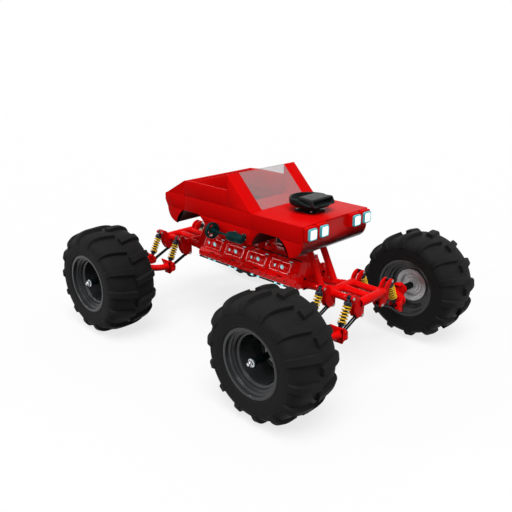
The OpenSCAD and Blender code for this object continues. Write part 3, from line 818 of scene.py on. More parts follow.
@dataclass
class Hub:
    """A drilled brake ring on a turned hub, with its wheel studs and bearing cap."""

    corner: Corner
    ring: tuple[float, float] = (0.190, 0.256)
    ring_y: tuple[float, float] = (-0.194, -0.168)
    disc_y: tuple[float, float] = (-0.150, -0.084)
    barrel_r: float = 0.069
    bore_r: float = 0.0462
    nose_y: float = 0.046
    cells: int = 30
    hole_r: float = 0.0065
    studs: int = 8

    def drilled_ring(self) -> Surface:
        """The brake ring as cells with a real hole each.

        In a cell, row t blends the hole's circle (t = 0) to the cell's square border (t = 1), and the
        rows run from one face's border in to the hole, through it and out to the other face's border.

        Returns:
            Two staggered circles of cells and the ring's two rims.
        """
        per = 4
        low, high = self.ring_y
        middle = 0.5 * (self.ring[0] + self.ring[1])
        shape = Surface()
        a = circle(4 * per) + np.pi / 4
        side = np.linspace(-1, 1, per, endpoint=False)
        square = np.concatenate([np.stack([-side, 0 * side + 1], -1), np.stack([0 * side - 1, -side], -1),
                                 np.stack([side, 0 * side - 1], -1), np.stack([0 * side + 1, side], -1)])
        t = np.array([1, 0, 0, 1.0])[:, None, None]
        height = np.broadcast_to(np.array([low, low, high, high])[:, None], (4, 4 * per))
        for k, (r0, r1) in enumerate(((self.ring[0], middle), (middle, self.ring[1]))):
            half_r, half_a = (r1 - r0) / 2, np.pi / self.cells
            centre = (r0 + r1) / 2
            hole = self.hole_r * np.stack([np.cos(a) / (centre * half_a), np.sin(a) / half_r], -1)
            uv = (1 - t) * hole + t * square
            turn = (np.arange(self.cells) + 0.5 * k) * 2 * np.pi / self.cells
            theta = turn[:, None, None] + half_a * uv[None, ..., 0]
            r = np.broadcast_to(centre + half_r * uv[..., 1], theta.shape)
            h = np.broadcast_to(height, theta.shape)
            shape.grid(np.stack([r * np.cos(theta), r * np.sin(theta), h], -1), ends=False)
        for r in self.ring:
            shape.grid(turned([[r, low], [r, high]], per * self.cells), ends=False)
        return shape

    def turned_hub(self) -> Array:
        """The hub's closed section: hat, face with a raised step, bearing nose and barrel, edges eased."""
        d0, d1 = self.disc_y
        low, high = self.ring_y
        corners = [[self.bore_r, low - 0.004], [self.barrel_r, low - 0.004],
                   [self.barrel_r + 0.004, d0 - 0.012], [0.118, d0 - 0.012], [0.122, d0], [0.160, d0],
                   [0.164, d0 + 0.030], [self.ring[0], d0 + 0.030], [self.ring[0], high - 0.004],
                   [0.199, high - 0.004], [0.199, d1 - 0.008], [0.191, d1], [0.172, d1],
                   [0.168, d1 - 0.008], [0.130, d1 - 0.008], [0.126, d1], [0.092, d1], [0.078, d1 + 0.040],
                   [0.068, self.nose_y - 0.010], [0.060, self.nose_y], [self.bore_r, self.nose_y]]
        return filleted(corners, 0.004, 4)

    def build(self) -> None:
        """Publishes the hub in turned alloy and its studs in zinc."""
        tag, body, axle = self.corner.tag, f"wheel_{self.corner.tag}", self.corner.axle
        shape = Surface().grid(turned(self.turned_hub(), 96), along=True)
        shape.add(self.drilled_ring())
        publish(f"hub_{tag}_machined", shape.move(axle), Finishes.turned_alloy(tag, self.corner.hub),
                f"hub_{tag}", TURNED_FOLD, body)
        spots = ring_of(axle, 0.149, self.studs, self.disc_y[1] - 0.008)
        thread = turned([[0.008, 0], [0.008, 0.036], [0.006, 0.040]], 12)
        studs = bolts(spots, 0.030, 0.018, 0.003).grid(np.stack([spot(thread) for spot in spots]))
        publish(f"hub_{tag}_studs", studs, Finishes.zinc, body=body)


@dataclass
class Upright:
    """The steered block on the kingpin with its black stub axle and bright nut."""

    corner: Corner
    block_h: float = 0.180
    block_r: float = 0.056
    pin_r: float = 0.022
    axle_r: float = 0.045
    nose: float = 0.26

    def block(self) -> Surface:
        """A bushed barrel on the kingpin and a squared housing towards the wheel, from the kingpin."""
        half = self.block_h / 2
        barrel = [[self.pin_r + 0.0003, -half], [self.block_r - 0.004, -half],
                  [self.block_r, -half + 0.004], [self.block_r, half - 0.004], [self.block_r - 0.004, half],
                  [self.pin_r + 0.0003, half]]
        shape = Surface().grid(turned(barrel, 72), along=True)
        shape.grid(block((-0.062, 0.030, -half + 0.014), (0.062, 0.078, half - 0.014), 0.010, 0.004))
        collar = facing_side((0, 0.076, 0))
        shape.grid(collar(turned([[0.074, 0], [0.076, 0.004], [0.074, 0.036], [0.068, 0.044]], 72)))
        return shape

    def build(self) -> None:
        """Publishes the red block, the black axle and the nut at its end."""
        tag, body = self.corner.tag, f"upright_{self.corner.tag}"
        side = self.corner.side
        kingpin = Place(self.corner.kingpin, ((1, 0, 0), (0, side, 0), (0, 0, 1)))
        publish(f"upright_{tag}_block", self.block().move(kingpin), Finishes.powder_red, f"knuckle_{tag}",
                body=body)
        reach = abs(self.corner.hub[1] - self.corner.kingpin[1])
        out = reach + 0.051 + self.nose
        r = self.axle_r
        rod = [[0.04, 0.060], [0.062, 0.114], [0.062, 0.126], [0.055, 0.130], [0.055, reach - 0.206],
               [0.052, reach - 0.203], [r, reach - 0.203], [r, out - 0.002], [0.060, out],
               [0.062, out + 0.003], [0.062, out + 0.022], [0.056, out + 0.030], [0.032, out + 0.030],
               [0.030, out + 0.034], [0.030, out + 0.088], [0.026, out + 0.092]]
        axle = facing_side(self.corner.kingpin, side)
        publish(f"upright_{tag}_axle", Surface().grid(axle(turned(rod, 72))), Finishes.powder_black,
                sharp_deg=MACHINED_FOLD, body=body)
        nut = bolts([shifted(axle, (0, 0, out + 0.030))], 0.086, 0.036, 0.005)
        dome = [[0.034, out + 0.070], [0.033, out + 0.080], [0.028, out + 0.088], [0.018, out + 0.0935],
                [0.006, out + 0.095]]
        nut.grid(axle(turned(dome, 32)))
        publish(f"upright_{tag}_nut", nut, Finishes.chrome, body=body)


# ---------- suspension ----------

@dataclass(frozen=True)
class Station:
    """One shock and link plane: its distance along the truck from the axle, and its four pivots as
    [outboard, height]."""

    corner: Corner
    end: int
    offset: float = 0.243
    link_in: tuple[float, float] = (0.236, 0.980)
    link_out: tuple[float, float] = (0.642, 0.800)
    shock_low: tuple[float, float] = (0.650, 0.878)
    shock_top: tuple[float, float] = (0.455, 1.280)

    def at(self, pivot: tuple[float, float], along: float = 0.0) -> Array:
        """A pivot in truck coordinates, moved along the truck away from the axle."""
        return self.corner.truck(np.array([self.end * (self.offset + along), *pivot]))

    def between(self, a: tuple[float, float], b: tuple[float, float]) -> Place:
        """A placement at pivot a: first axis along the truck, third towards pivot b."""
        start, stop = self.at(a), self.at(b)
        w = (stop - start) / np.linalg.norm(stop - start)
        u = np.array([1.0, 0, 0])
        return Place(tuple(start), (tuple(u), tuple(np.cross(w, u)), tuple(w)))

    def plane(self) -> Place:
        """Outlines of [outboard, height] carried along the truck from the station's plane."""
        return Place(tuple(self.at((0, 0))), ((0, self.corner.side, 0), (0, 0, 1), (self.end, 0, 0)))

    @staticmethod
    def all() -> list["Station"]:
        """Both stations of every corner."""
        return [Station(corner, end) for corner in Corner.all() for end in (-1, 1)]


def eye(place: Place, radius: float, half: float, bore: float) -> Array:
    """A bushed eye round the placement's first axis: a ring with eased rims, closed through its bore."""
    ring = [[bore, -half], [radius - 0.004, -half], [radius, -half + 0.004], [radius, half - 0.004],
            [radius - 0.004, half], [bore, half]]
    return place(ACROSS(turned(ring, 40)))


@dataclass
class CoilOver:
    """A damper with a round cap and a spring wound round it."""

    station: Station
    eye_r: float = 0.030
    half: float = 0.033
    bore: float = 0.0173
    body_r: float = 0.032
    rod_r: float = 0.017
    seat_h: float = 0.092
    cap: tuple[float, float, float] = (0.056, 0.108, 0.042)
    coil_r: float = 0.0515
    wire_r: float = 0.0095
    turns: float = 6.5

    def __post_init__(self) -> None:
        """Works out the shock's own coordinates and its length between eyes."""
        s = self.station
        self.place = s.between(s.shock_low, s.shock_top)
        self.length = distance(s.shock_low, s.shock_top)

    def body(self) -> Surface:
        """The damper: lower eye, body, threaded collar, spring cup, rod, domed cap and upper eye."""
        low, top = self.seat_h, self.length
        r, foot, head = self.cap
        shape = Surface().grid(eye(self.place, self.eye_r, self.half, self.bore))
        shape.grid(eye(shifted(self.place, (0, 0, top)), self.eye_r, self.half, self.bore), along=True)
        tube = [[0.020, 0.018], [0.026, 0.030], [self.body_r, 0.036], [self.body_r, 0.60 * top],
                [self.body_r - 0.004, 0.61 * top], [self.rod_r, 0.612 * top],
                [self.rod_r, top - foot + 0.01]]
        collar = [[self.body_r, low - 0.030], [0.044, low - 0.030], [0.046, low - 0.028],
                  [0.046, low - 0.018], [0.044, low - 0.016], [0.054, low - 0.014], [0.059, low - 0.011],
                  [0.060, low - 0.003], [0.057, low], [self.body_r, low]]
        a = np.linspace(0, np.pi / 2, 10)
        dome = np.stack([0.028 + (r - 0.028) * np.cos(a), top - head - 0.034 + 0.034 * np.sin(a)], -1)
        cap = np.concatenate([[[self.rod_r, top - foot], [r - 0.004, top - foot], [r, top - foot + 0.004]],
                              dome, [[0.024, top - head + 0.006], [0.020, top - 0.020]]])
        for profile in (tube, collar, cap):
            shape.grid(self.place(turned(profile, 36)))
        threads = np.linspace(0.118, 0.56 * top, 22)
        ridge = np.stack([0 * threads, 0 * threads, threads], -1)
        rings = turned([[self.body_r, -0.0022], [self.body_r + 0.0014, 0], [self.body_r, 0.0022]], 24)
        return shape.grid(self.place(rings[None] + ridge[:, None, None]), ends=False)

    def spring(self) -> Array:
        """A helix whose end turns lie flat: the height follows a smooth step of the turn count."""
        t = np.linspace(0, 1, int(self.turns * 36))
        tall = self.length - self.cap[1] - self.seat_h - 2 * self.wire_r
        flat = 0.75 / self.turns
        u = np.clip((t - flat) / (1 - 2 * flat), 0, 1)
        a = 2 * np.pi * self.turns * t
        close = 2.02 * self.wire_r * (np.clip(t / flat, 0, 1) + np.clip((t - 1 + flat) / flat, 0, 1)) * 0.5
        height = self.seat_h + self.wire_r + close + (tall - 2.02 * self.wire_r) * u
        path = np.stack([self.coil_r * np.cos(a), self.coil_r * np.sin(a), height], -1)
        return self.place(swept(path, self.wire_r, 10))


@dataclass
class Link:
    """A lower link: two bars side by side between bushed eyes."""

    station: Station
    bar_r: float = 0.0135
    spread: float = 0.0185
    eye_r: float = 0.032
    half: float = 0.0325
    bore: float = 0.0173

    def build(self) -> Surface:
        """Bars, eyes and the two clamps that tie the bars together."""
        s = self.station
        place = s.between(s.link_in, s.link_out)
        length = distance(s.link_in, s.link_out)
        shape = Surface()
        for h in (0, length):
            shape.grid(eye(shifted(place, (0, 0, h)), self.eye_r, self.half, self.bore), along=True)
        for side in (-1, 1):
            shape.grid(shifted(place, (side * self.spread, 0, 0.026))(turned(
                [[self.bar_r, 0], [self.bar_r, length - 0.052]], 24)))
        for h in (0.05, length - 0.082):
            shape.grid(place(block((-0.035, -0.017, h), (0.035, 0.017, h + 0.030), 0.008, 0.003)))
        return shape


@dataclass
class Tower:
    """Two hooked plates on the frame that hold the upper shock eye and the inner link eye."""

    station: Station
    gap: float = 0.0333
    thick: float = 0.024
    base_z: float = 1.160

    def outline(self) -> Array:
        """The hooked plate as [outboard, height] corners, every corner rounded."""
        z, (ty, tz) = self.base_z, self.station.shock_top
        corners = [[0.192, z - 0.200], [0.192, z + 0.022], [0.296, z + 0.030], [ty - 0.140, z + 0.084],
                   [ty - 0.104, z + 0.128], [ty - 0.052, tz + 0.032], [ty, tz + 0.036],
                   [ty + 0.030, tz + 0.014], [ty + 0.030, tz - 0.020], [ty - 0.006, tz - 0.036],
                   [ty - 0.034, z + 0.056], [0.398, z + 0.016], [0.402, z - 0.060], [0.386, z - 0.112],
                   [0.330, z - 0.200]]
        radii = [0.008, 0.008, 0.03, 0.04, 0.03, 0.03, 0.022, 0.02, 0.02, 0.02, 0.03, 0.02, 0.03, 0.03,
                 0.012]
        return filleted(corners, np.array(radii), 6)

    def build(self) -> tuple[Surface, Surface]:
        """The red plates with their pins, and the nuts on the pins' ends."""
        s = self.station
        plane = s.plane()
        shape, nuts = Surface(), Surface()
        for side in (-1, 1):
            shape.grid(plane(slab(self.outline(), *pair(side, self.gap, self.gap + self.thick), 0.003)))
            for pivot in (s.link_in, s.shock_top):
                foot = Place(tuple(plane(np.array([*pivot, side * (self.gap + self.thick)]))),
                             ((0, s.corner.side, 0), (0, 0, 1), (side * s.end, 0, 0)))
                shape.grid(foot(turned([[0.030, -0.001], [0.030, 0.004], [0.027, 0.007]], 32)))
                nuts.add(bolts([shifted(foot, (0, 0, 0.006))], 0.036, 0.012, 0.002))
        for pivot in (s.link_in, s.shock_top):
            shape.grid(tube_between(s.at(pivot, -self.gap - 0.012), s.at(pivot, self.gap + 0.012), 0.0168))
        return shape, nuts


@dataclass
class Carrier:
    """A wheel carrier: angle brackets at both stations, an outboard hoop, a yoke and its kingpin."""

    corner: Corner
    hoop_y: float = 0.708
    hoop_z: float = 0.852
    hoop_r: float = 0.290
    tube_r: float = 0.052
    face: float = 0.351
    inner: float = 0.136
    thick: float = 0.024
    span: tuple[float, float] = (0.734, 0.954)
    yoke_in: float = 0.978
    yoke_x: float = 0.060
    gap: float = 0.005
    lug_t: float = 0.026
    knuckle_h: float = 0.180

    def side_plate(self) -> Array:
        """The bracket face along the truck: a square whose inner edge is cut round towards the axle."""
        low, high = self.span
        cut_r, cut_z = 0.218, self.corner.hub[2] - 0.080
        a0 = math.degrees(math.asin((low - cut_z) / cut_r))
        a1 = math.degrees(math.acos(self.inner / cut_r))
        corners = filleted(box_outline(self.inner, self.face, low, high)[1:], 0.010, 4)[2:-2]
        bite = arc((0, cut_z), cut_r, a1, a0, 14)
        return np.concatenate([corners, [[self.inner, high]], bite])

    def brackets(self) -> Surface:
        """Both angle brackets, with the inner lugs of the pins."""
        z, y = self.corner.hub[2], self.hoop_y + self.thick
        s = Station(self.corner, 1)
        face = filleted([[0.596, z + 0.012], [0.600, z - 0.030], [0.640, z - 0.066], [0.690, z - 0.084],
                                  [0.706, z - 0.104], [y, z - 0.104], [y, z + 0.116],
                                  [self.hoop_y - 0.040, z + 0.104]], 0.014, 5)
        lug = filleted([[0.604, z + 0.020], [0.604, z - 0.056], [0.640, z - 0.072], [y - 0.010, z - 0.072],
                        [y - 0.010, z + 0.074], [0.650, z + 0.074]], 0.014, 5)
        lug_x = s.offset - 0.0333
        shape = Surface()
        truck = self.corner.truck
        for end in (-1, 1):
            across = Place(truck.origin, ((0, self.corner.side, 0), (0, 0, 1), (end, 0, 0)))
            along = Place(truck.origin, ((end, 0, 0), (0, 0, 1), (0, self.corner.side, 0)))
            shape.grid(across(slab(face, self.face - self.thick, self.face, 0.003)))
            shape.grid(across(slab(lug, lug_x - self.thick, lug_x, 0.003)))
            shape.grid(along(slab(self.side_plate(), self.hoop_y, y, 0.003)))
            for pivot in (s.link_out, s.shock_low):
                pin = turned([[0.0168, lug_x - 0.010], [0.0168, self.face - 0.006]], 32)
                shape.grid(shifted(across, (*pivot, 0))(pin))
                boss = np.array([[0.034, self.face - 0.002], [0.034, self.face + 0.006],
                                 [0.029, self.face + 0.012], [0.016, self.face + 0.013]])
                shape.grid(shifted(across, (*pivot, 0))(turned(boss, 32)))
        return shape

    def hoop(self) -> Surface:
        """Half a ring of tube from one bracket round to the other, with a weld bead at each end."""
        a = np.radians(np.linspace(2.4, 177.6, 41))
        path = np.stack([self.hoop_r * np.cos(a), self.hoop_y + self.hoop_r * np.sin(a),
                         0 * a + self.hoop_z], -1)
        shape = Surface().grid(self.corner.truck(swept(path, self.tube_r, 32)))
        for end in (-1, 1):
            foot = facing_side((end * (self.hoop_r - 0.001), self.hoop_y + self.thick + 0.002, self.hoop_z))
            shape.grid(self.corner.truck(weld_ring(foot, self.tube_r + 0.002, 0.006)), along=True)
        return shape

    def yoke(self) -> Surface:
        """The square back of the yoke, its two lugs with round ends, and the kingpin through them."""
        z, k = self.corner.hub[2], abs(self.corner.kingpin[1])
        low = z - self.knuckle_h / 2 - self.gap - self.lug_t
        high = z + self.knuckle_h / 2 + self.gap + self.lug_t
        shape = Surface().grid(block((-self.yoke_x, self.yoke_in, low), (self.yoke_x, k - 0.09, high),
                                     0.010, 0.004))
        round_end = arc((0, k), self.yoke_x, 0, 180, 20)
        lug = np.concatenate([[[-self.yoke_x, self.yoke_in + 0.01], [self.yoke_x, self.yoke_in + 0.01]],
                              round_end])
        for z0 in (low, high - self.lug_t):
            shape.grid(slab(lug, z0, z0 + self.lug_t, 0.004))
        pin = [[0.018, low - 0.012], [0.022, low - 0.008], [0.022, high + 0.008], [0.018, high + 0.012]]
        shape.grid(turned(pin, 40) + np.array([0, k, 0]))
        rim = [[0.034, high - 0.001], [0.034, high + 0.005], [0.031, high + 0.008]]
        shape.grid(turned(rim, 40) + np.array([0, k, 0]))
        ribs = np.array([[self.yoke_in + 0.002, low + 0.02], [self.hoop_y + 0.22, low + 0.03],
                         [self.hoop_y + 0.22, high - 0.03], [self.yoke_in + 0.002, high - 0.02]])
        for x in (-0.045, 0.045):
            shape.grid(ACROSS(slab(filleted(ribs, 0.01, 3), x - 0.006, x + 0.006, 0.002)))
        return shape.move(self.corner.truck)


@dataclass
class Suspension:
    """Everything between the frame and the uprights, as one piece for each kind of part."""

    stations: list[Station] = field(default_factory=Station.all)

    def build(self) -> None:
        """Publishes dampers, springs, links, towers and carriers."""
        bodies, springs, links, plates, nuts, carriers = (Surface() for _ in range(6))
        for station in self.stations:
            shock = CoilOver(station)
            bodies.add(shock.body())
            springs.grid(shock.spring())
            links.add(Link(station).build())
            red, zinc = Tower(station).build()
            plates.add(red)
            nuts.add(zinc)
        for corner in Corner.all():
            carrier = Carrier(corner)
            carriers.add(carrier.brackets(), carrier.hoop(), carrier.yoke())
        publish("dampers_capped", bodies, Finishes.anodised, "dampers")
        publish("springs_wound", springs, Finishes.spring, "coil_springs")
        publish("links_twin_bar", links, Finishes.powder_black, "lower_links")
        publish("towers_hooked", plates, Finishes.powder_red, "shock_towers")
        publish("towers_nuts", nuts, Finishes.zinc)
        publish("carriers_welded", carriers, Finishes.powder_red, "carriers")


# ---------- frame ----------

@dataclass
class EndFrame:
    """The welded tubes of one end, from the engine's end plate to the end cross tube."""

    fore: int
    engine_end: float = 1.050
    plate_t: float = 0.020
    rail: tuple[float, float] = (0.150, 1.095)
    frame_z: float = 1.160
    cross_x: tuple[float, float] = (1.572, 2.084)
    cross_half: float = 0.282
    cross_r: float = 0.063
    side_y: float = 0.252

    def ring(self, x: float, y: float, z: float, r: float, lean: float = 0.0) -> Array:
        """A weld bead round a tube that runs along the truck, leant about the Y axis."""
        c, s = math.cos(lean), math.sin(lean)
        place = Place((x, y, z), ((0, 1, 0), (-s, 0, c), (c, 0, s)))
        return weld_ring(place, r, 0.0055, max(12, int(r * 620)))

    def build(self) -> tuple[Surface, Surface]:
        """The red tubes with their beads, and the plugs in the cross tubes' ends."""
        (ry, rz), fz = self.rail, self.frame_z
        x0, (x1, x2) = self.engine_end + self.plate_t / 2, self.cross_x
        lean = math.atan2(fz - rz, x1 - x0)
        shape = Surface()
        for side in (-1, 1):
            shape.grid(tube_between((x0, side * ry, rz), (x1, side * ry, fz), 0.058))
            shape.grid(tube_between((x1, side * self.side_y, fz), (x2, side * self.side_y, fz), 0.051))
            shape.grid(self.ring(x0 + 0.012, side * ry, rz + 0.001, 0.060, lean), along=True)
            shape.grid(self.ring(x1 - self.cross_r + 0.004, side * ry, fz - 0.008, 0.059, lean), along=True)
            for x in (x1 + self.cross_r - 0.004, x2 - self.cross_r + 0.004):
                shape.grid(self.ring(x, side * self.side_y, fz, 0.052), along=True)
            # strap across the joint of rail and cross tube
            shape.grid(tube_between((x1 - 0.13, side * ry, fz - 0.0175),
                                    (x1 - 0.072, side * ry, fz - 0.010), 0.0625, 0.004))
        shape.grid(tube_between((x1, 0, fz), (x2, 0, fz), 0.056))
        for x in (x1 + self.cross_r - 0.004, x2 - self.cross_r + 0.004):
            shape.grid(self.ring(x, 0, fz, 0.057), along=True)
        plugs = Surface()
        for x in (x1, x2):
            h, r = self.cross_half, self.cross_r
            shape.grid(tube_between((x, -h, fz), (x, h, fz), r, 0.005, 56))
            for side in (-1, 1):
                place = facing_side((x, side * h, fz), side)
                plugs.grid(place(turned([[r - 0.010, -0.004], [r - 0.010, 0.0], [r - 0.014, 0.0]], 48)))
        plate = filleted(box_outline(-ry - 0.09, ry + 0.09, rz - 0.064, rz + 0.136), 0.02)
        shape.grid(ACROSS(slab(plate, self.engine_end, self.engine_end + self.plate_t, 0.003)))
        heads = [facing_fore((self.engine_end + self.plate_t, y, z))
                 for y in (-0.215, 0.0, 0.215) for z in (rz - 0.040, rz + 0.112)]
        flip = Place(axes=((self.fore, 0, 0), (0, 1, 0), (0, 0, 1)))
        return shape.move(flip), bolts(heads, 0.030, 0.014, 0.003).add(plugs).move(flip)


@dataclass
class Supports:
    """Four sloping tubes up to the arch roofs and two short posts on the engine."""

    foot: Point = (1.339, 0.150, 1.130)
    lean: float = 0.51
    top_z: float = 1.9257
    radius: float = 0.050
    post: tuple[float, float, float] = (0.108, 0.125, 0.060)
    post_z: tuple[float, float] = (1.4303, 1.6897)

    def slope(self, fore: int, side: int) -> Surface:
        """A tube whose top ring is slid along it until it lies flat under the roof, and its weld bead."""
        x, y, z = self.foot
        foot = np.array([fore * x, side * y, z])
        way = np.array([-fore * self.lean, 0, 1.0]) / math.hypot(self.lean, 1)
        tube = frame_along(foot, foot + way)(turned([[self.radius, 0], [self.radius, 0.5]], 48))
        tube[1] += (self.top_z - tube[1, :, 2:]) / way[2] * way
        shape = Surface().grid(tube)
        top = foot + way * (self.top_z - z) / way[2]
        flat = Place((top[0], top[1], self.top_z - 0.003))
        stretch = math.hypot(self.lean, 1)
        bead = flat(swept(np.stack([(self.radius + 0.001) * stretch * np.cos(a := np.linspace(
            0, 2 * np.pi, 160, endpoint=False)), (self.radius + 0.001) * np.sin(a), 0 * a], -1),
            0.005 * (1 + 0.2 * np.abs(np.sin(20 * a))), 8, loop=True))
        bead[..., 2] = np.minimum(bead[..., 2], self.top_z)
        return shape.grid(bead, along=True)

    def build(self) -> None:
        """Publishes tubes and posts as one piece."""
        shape = Surface()
        x, y, r = self.post
        z0, z1 = self.post_z
        for side in (-1, 1):
            for fore in (-1, 1):
                shape.add(self.slope(fore, side))
            shape.grid(tube_between((x, side * y, z0), (x, side * y, z1), r, 0.004, 56))
        publish("supports_sloping", shape, Finishes.powder_red, "body_supports")


# ---------- engine ----------

def pillow(place: Place, half: tuple[float, float], height: float, skirt: float = 0.01, square: float = 7.0,
           bulge: float = 2.4, cols: int = 64, rows: int = 14) -> Array:
    """A crowned closed form on a rounded rectangle.

    The border is a superellipse of power square. At a share s of the border the height is
    height * (1 - s ** bulge), and the first row goes down by skirt below the border.

    Args:
        place: its third axis points out of the crown.
        half: half sizes along the first two axes.
        height: how far the middle stands up.
        skirt: depth of the wall below the border.
        square: power of the border, where 2 is an ellipse.
        bulge: power of the crown, where 2 is round and more is flatter.
        cols: points round the border.
        rows: rows from border to middle.

    Returns:
        (rows + 1, cols, 3) points.
    """
    a = circle(cols)
    edge = np.stack([np.sign(f) * np.abs(f) ** (2 / square) for f in (np.cos(a), np.sin(a))], -1) * half
    s = np.sin(np.linspace(np.pi / 2, 0.03, rows))
    flat = s[:, None, None] * edge
    up = np.broadcast_to((height * (1 - s ** bulge))[:, None, None], (rows, cols, 1))
    top = np.concatenate([flat, up], -1)
    foot = np.concatenate([edge, np.full((cols, 1), -skirt)], -1)
    return place(np.concatenate([foot[None], top]))


@dataclass
class Engine:
    """A long V engine with four glossy convex covers on each bank."""

    half: float = 1.050
    bay_x: float = -1.003
    pitch: float = 0.489
    bay_l: float = 0.430
    bays: int = 4
    low: tuple[float, float] = (0.362, 1.244)
    top: tuple[float, float] = (0.278, 1.412)
    deck_z: float = 1.232
    top_z: float = 1.430
    ledge: tuple[float, float, float] = (0.420, 1.110, 1.182)
    runner: tuple[float, float] = (0.070, 0.040)

    def face(self, side: int, i: int) -> Place:
        """The middle of a bay's sloping face: first axis along the truck, second up the slope."""
        up = np.array([0, side * (self.top[0] - self.low[0]), self.top[1] - self.low[1]])
        up /= np.linalg.norm(up)
        x = self.bay_x + i * self.pitch + self.bay_l / 2
        middle = (x, side * (self.low[0] + self.top[0]) / 2, (self.low[1] + self.top[1]) / 2)
        return Place(middle, ((1, 0, 0), tuple(up), tuple(-side * np.cross((1, 0, 0), up))))

    def sides(self) -> list[tuple[int, float, Place]]:
        """Every bay: its side, where it starts along the truck, and its face."""
        return [(side, self.bay_x + i * self.pitch, self.face(side, i)) for side in (-1, 1)
                for i in range(self.bays)]

    def block_shape(self) -> Surface:
        """The block's outline carried along the truck, with a rail and two feet for each bay."""
        ly, l0, l1 = self.ledge
        right = [[0.210, 1.040], [ly - 0.020, l0], [ly, l0], [ly, l1], [0.372, self.deck_z],
                 [0.200, self.deck_z], [0.110, self.top_z]]
        whole = np.array([*right, *[[-y, z] for y, z in reversed(right)]])
        shape = Surface().grid(ACROSS(slab(filleted(whole, 0.008, 4), -self.half, self.half, 0.005)))
        for side, x, _ in self.sides():
            y0, y1 = pair(side, ly - 0.052, ly + 0.012)
            shape.grid(block((x - 0.010, y0, l1 - 0.030), (x + self.bay_l + 0.010, y1, l1 + 0.020), 0.008,
                             0.005))
            y0, y1 = pair(side, ly - 0.02, ly + 0.006)
            for foot in (0.03, self.bay_l - 0.09):
                shape.grid(block((x + foot, y0, l0 + 0.004), (x + foot + 0.06, y1, l1 - 0.034), 0.006,
                                 0.003))
            rib = np.array([[0.215, 1.045], [ly - 0.030, l0 - 0.006], [ly - 0.030, l0 + 0.01],
                            [0.215, 1.09]])
            rib = ACROSS(slab(rib * [side, 1], x + 0.20, x + 0.222, 0.002))
            shape.grid(rib)
        return shape

    def bay_shape(self) -> Surface:
        """Each bay's wedge with a raised border round its cover."""
        wedge = np.array([[0.200, self.deck_z - 0.01], [0.364, self.deck_z - 0.01], self.low, self.top,
                          [0.150, self.top[1]], [0.117, self.top_z - 0.016]])
        shape = Surface()
        for side, x, face in self.sides():
            shape.grid(ACROSS(slab(filleted(wedge * [side, 1], 0.010, 5), x, x + self.bay_l, 0.006)))
            outer = filleted(box_outline(-0.205, 0.205, -0.086, 0.086), 0.028, 7)
            inner = filleted(box_outline(-0.184, 0.184, -0.068, 0.068), 0.022, 7)
            rows = [(outer, -0.004), (outer, 0.006), (shrunk(outer, 0.004), 0.010),
                    (shrunk(inner, -0.004), 0.010), (inner, 0.006), (inner, -0.004)]
            shape.grid(face(stacked(rows)), along=True)
            cap = Place((x + self.bay_l / 2, side * 0.214, self.top[1] - 0.002))
            shape.grid(pillow(cap, (0.150, 0.034), 0.016, 0.01, 6, 4))
        return shape

    def covers(self) -> Surface:
        """The glossy covers inside the borders, each with a small and a large dome."""
        shape = Surface()
        for _, _, face in self.sides():
            shape.grid(pillow(face, (0.184, 0.068), 0.012, 0.004, 7, 5, 56, 8))
            for u, half, tall in ((-0.084, (0.070, 0.060), 0.042), (0.076, (0.096, 0.062), 0.050)):
                shape.grid(pillow(shifted(face, (u, 0, 0.006)), half, tall, 0.006, 2.6, 2, 40, 12))
        return shape

    def badges(self) -> Surface:
        """Bars that carry painted glints on every cover: a short one, a group of three and one on the top
        edge.
        """
        shape = Surface()
        bars = [(-0.070, -0.006, 0.012, 0.022, 0.046), (0.054, 0.004, 0.008, 0.024, 0.053),
                (0.076, -0.002, 0.008, 0.030, 0.055), (0.098, -0.008, 0.008, 0.024, 0.053)]
        for side, _, face in self.sides():
            for u, v, a, b, h in bars:
                shape.grid(pillow(shifted(face, (u, v, h)), (a, b), 0.006, 0.010, 3.5, 2, 24, 5))
            top = Place((face.origin[0] + 0.15, side * 0.248, self.top[1] + 0.001))
            shape.grid(pillow(top, (0.034, 0.012), 0.008, 0.010, 3.5, 2, 24, 5))
        return shape

    def trims(self) -> tuple[Surface, Surface]:
        """A pipe below each ledge with clips on the ledge above it, and the pipe's sleeves, which carry
        painted glints.
        """
        pipe, sleeves = Surface(), Surface()
        ly, l0, l1 = self.ledge
        for side in (-1, 1):
            y, z = side * (ly + 0.004), l0 - 0.012
            pipe.grid(tube_between((-self.half + 0.03, y, z), (self.half - 0.03, y, z), 0.013))
            for i in range(self.bays):
                x = self.bay_x + i * self.pitch
                for u in (0.20, 0.33):
                    sleeves.grid(tube_between((x + u, y, z), (x + u + 0.055, y, z), 0.0165, 0.004, 24))
                y0, y1 = pair(side, ly - 0.028, ly - 0.012)
                pipe.grid(block((x + 0.22, y0, l1 + 0.018), (x + 0.31, y1, l1 + 0.030), 0.003, 0.002))
        return pipe, sleeves

    def fasteners(self) -> Surface:
        """Bolts on the covers' borders and the rails."""
        spots: list[Place] = []
        for side, x, face in self.sides():
            spots += [shifted(face, (u, v, 0.009)) for u in (-0.194, 0.0, 0.194) for v in (-0.077, 0.077)]
            out = facing_side((0, side * (self.ledge[0] + 0.012), 0), side)
            spots += [shifted(out, (x + u, self.ledge[2] - 0.005, 0)) for u in (0.03, 0.215, 0.40)]
        return bolts(spots, 0.017, 0.007, 0.002)

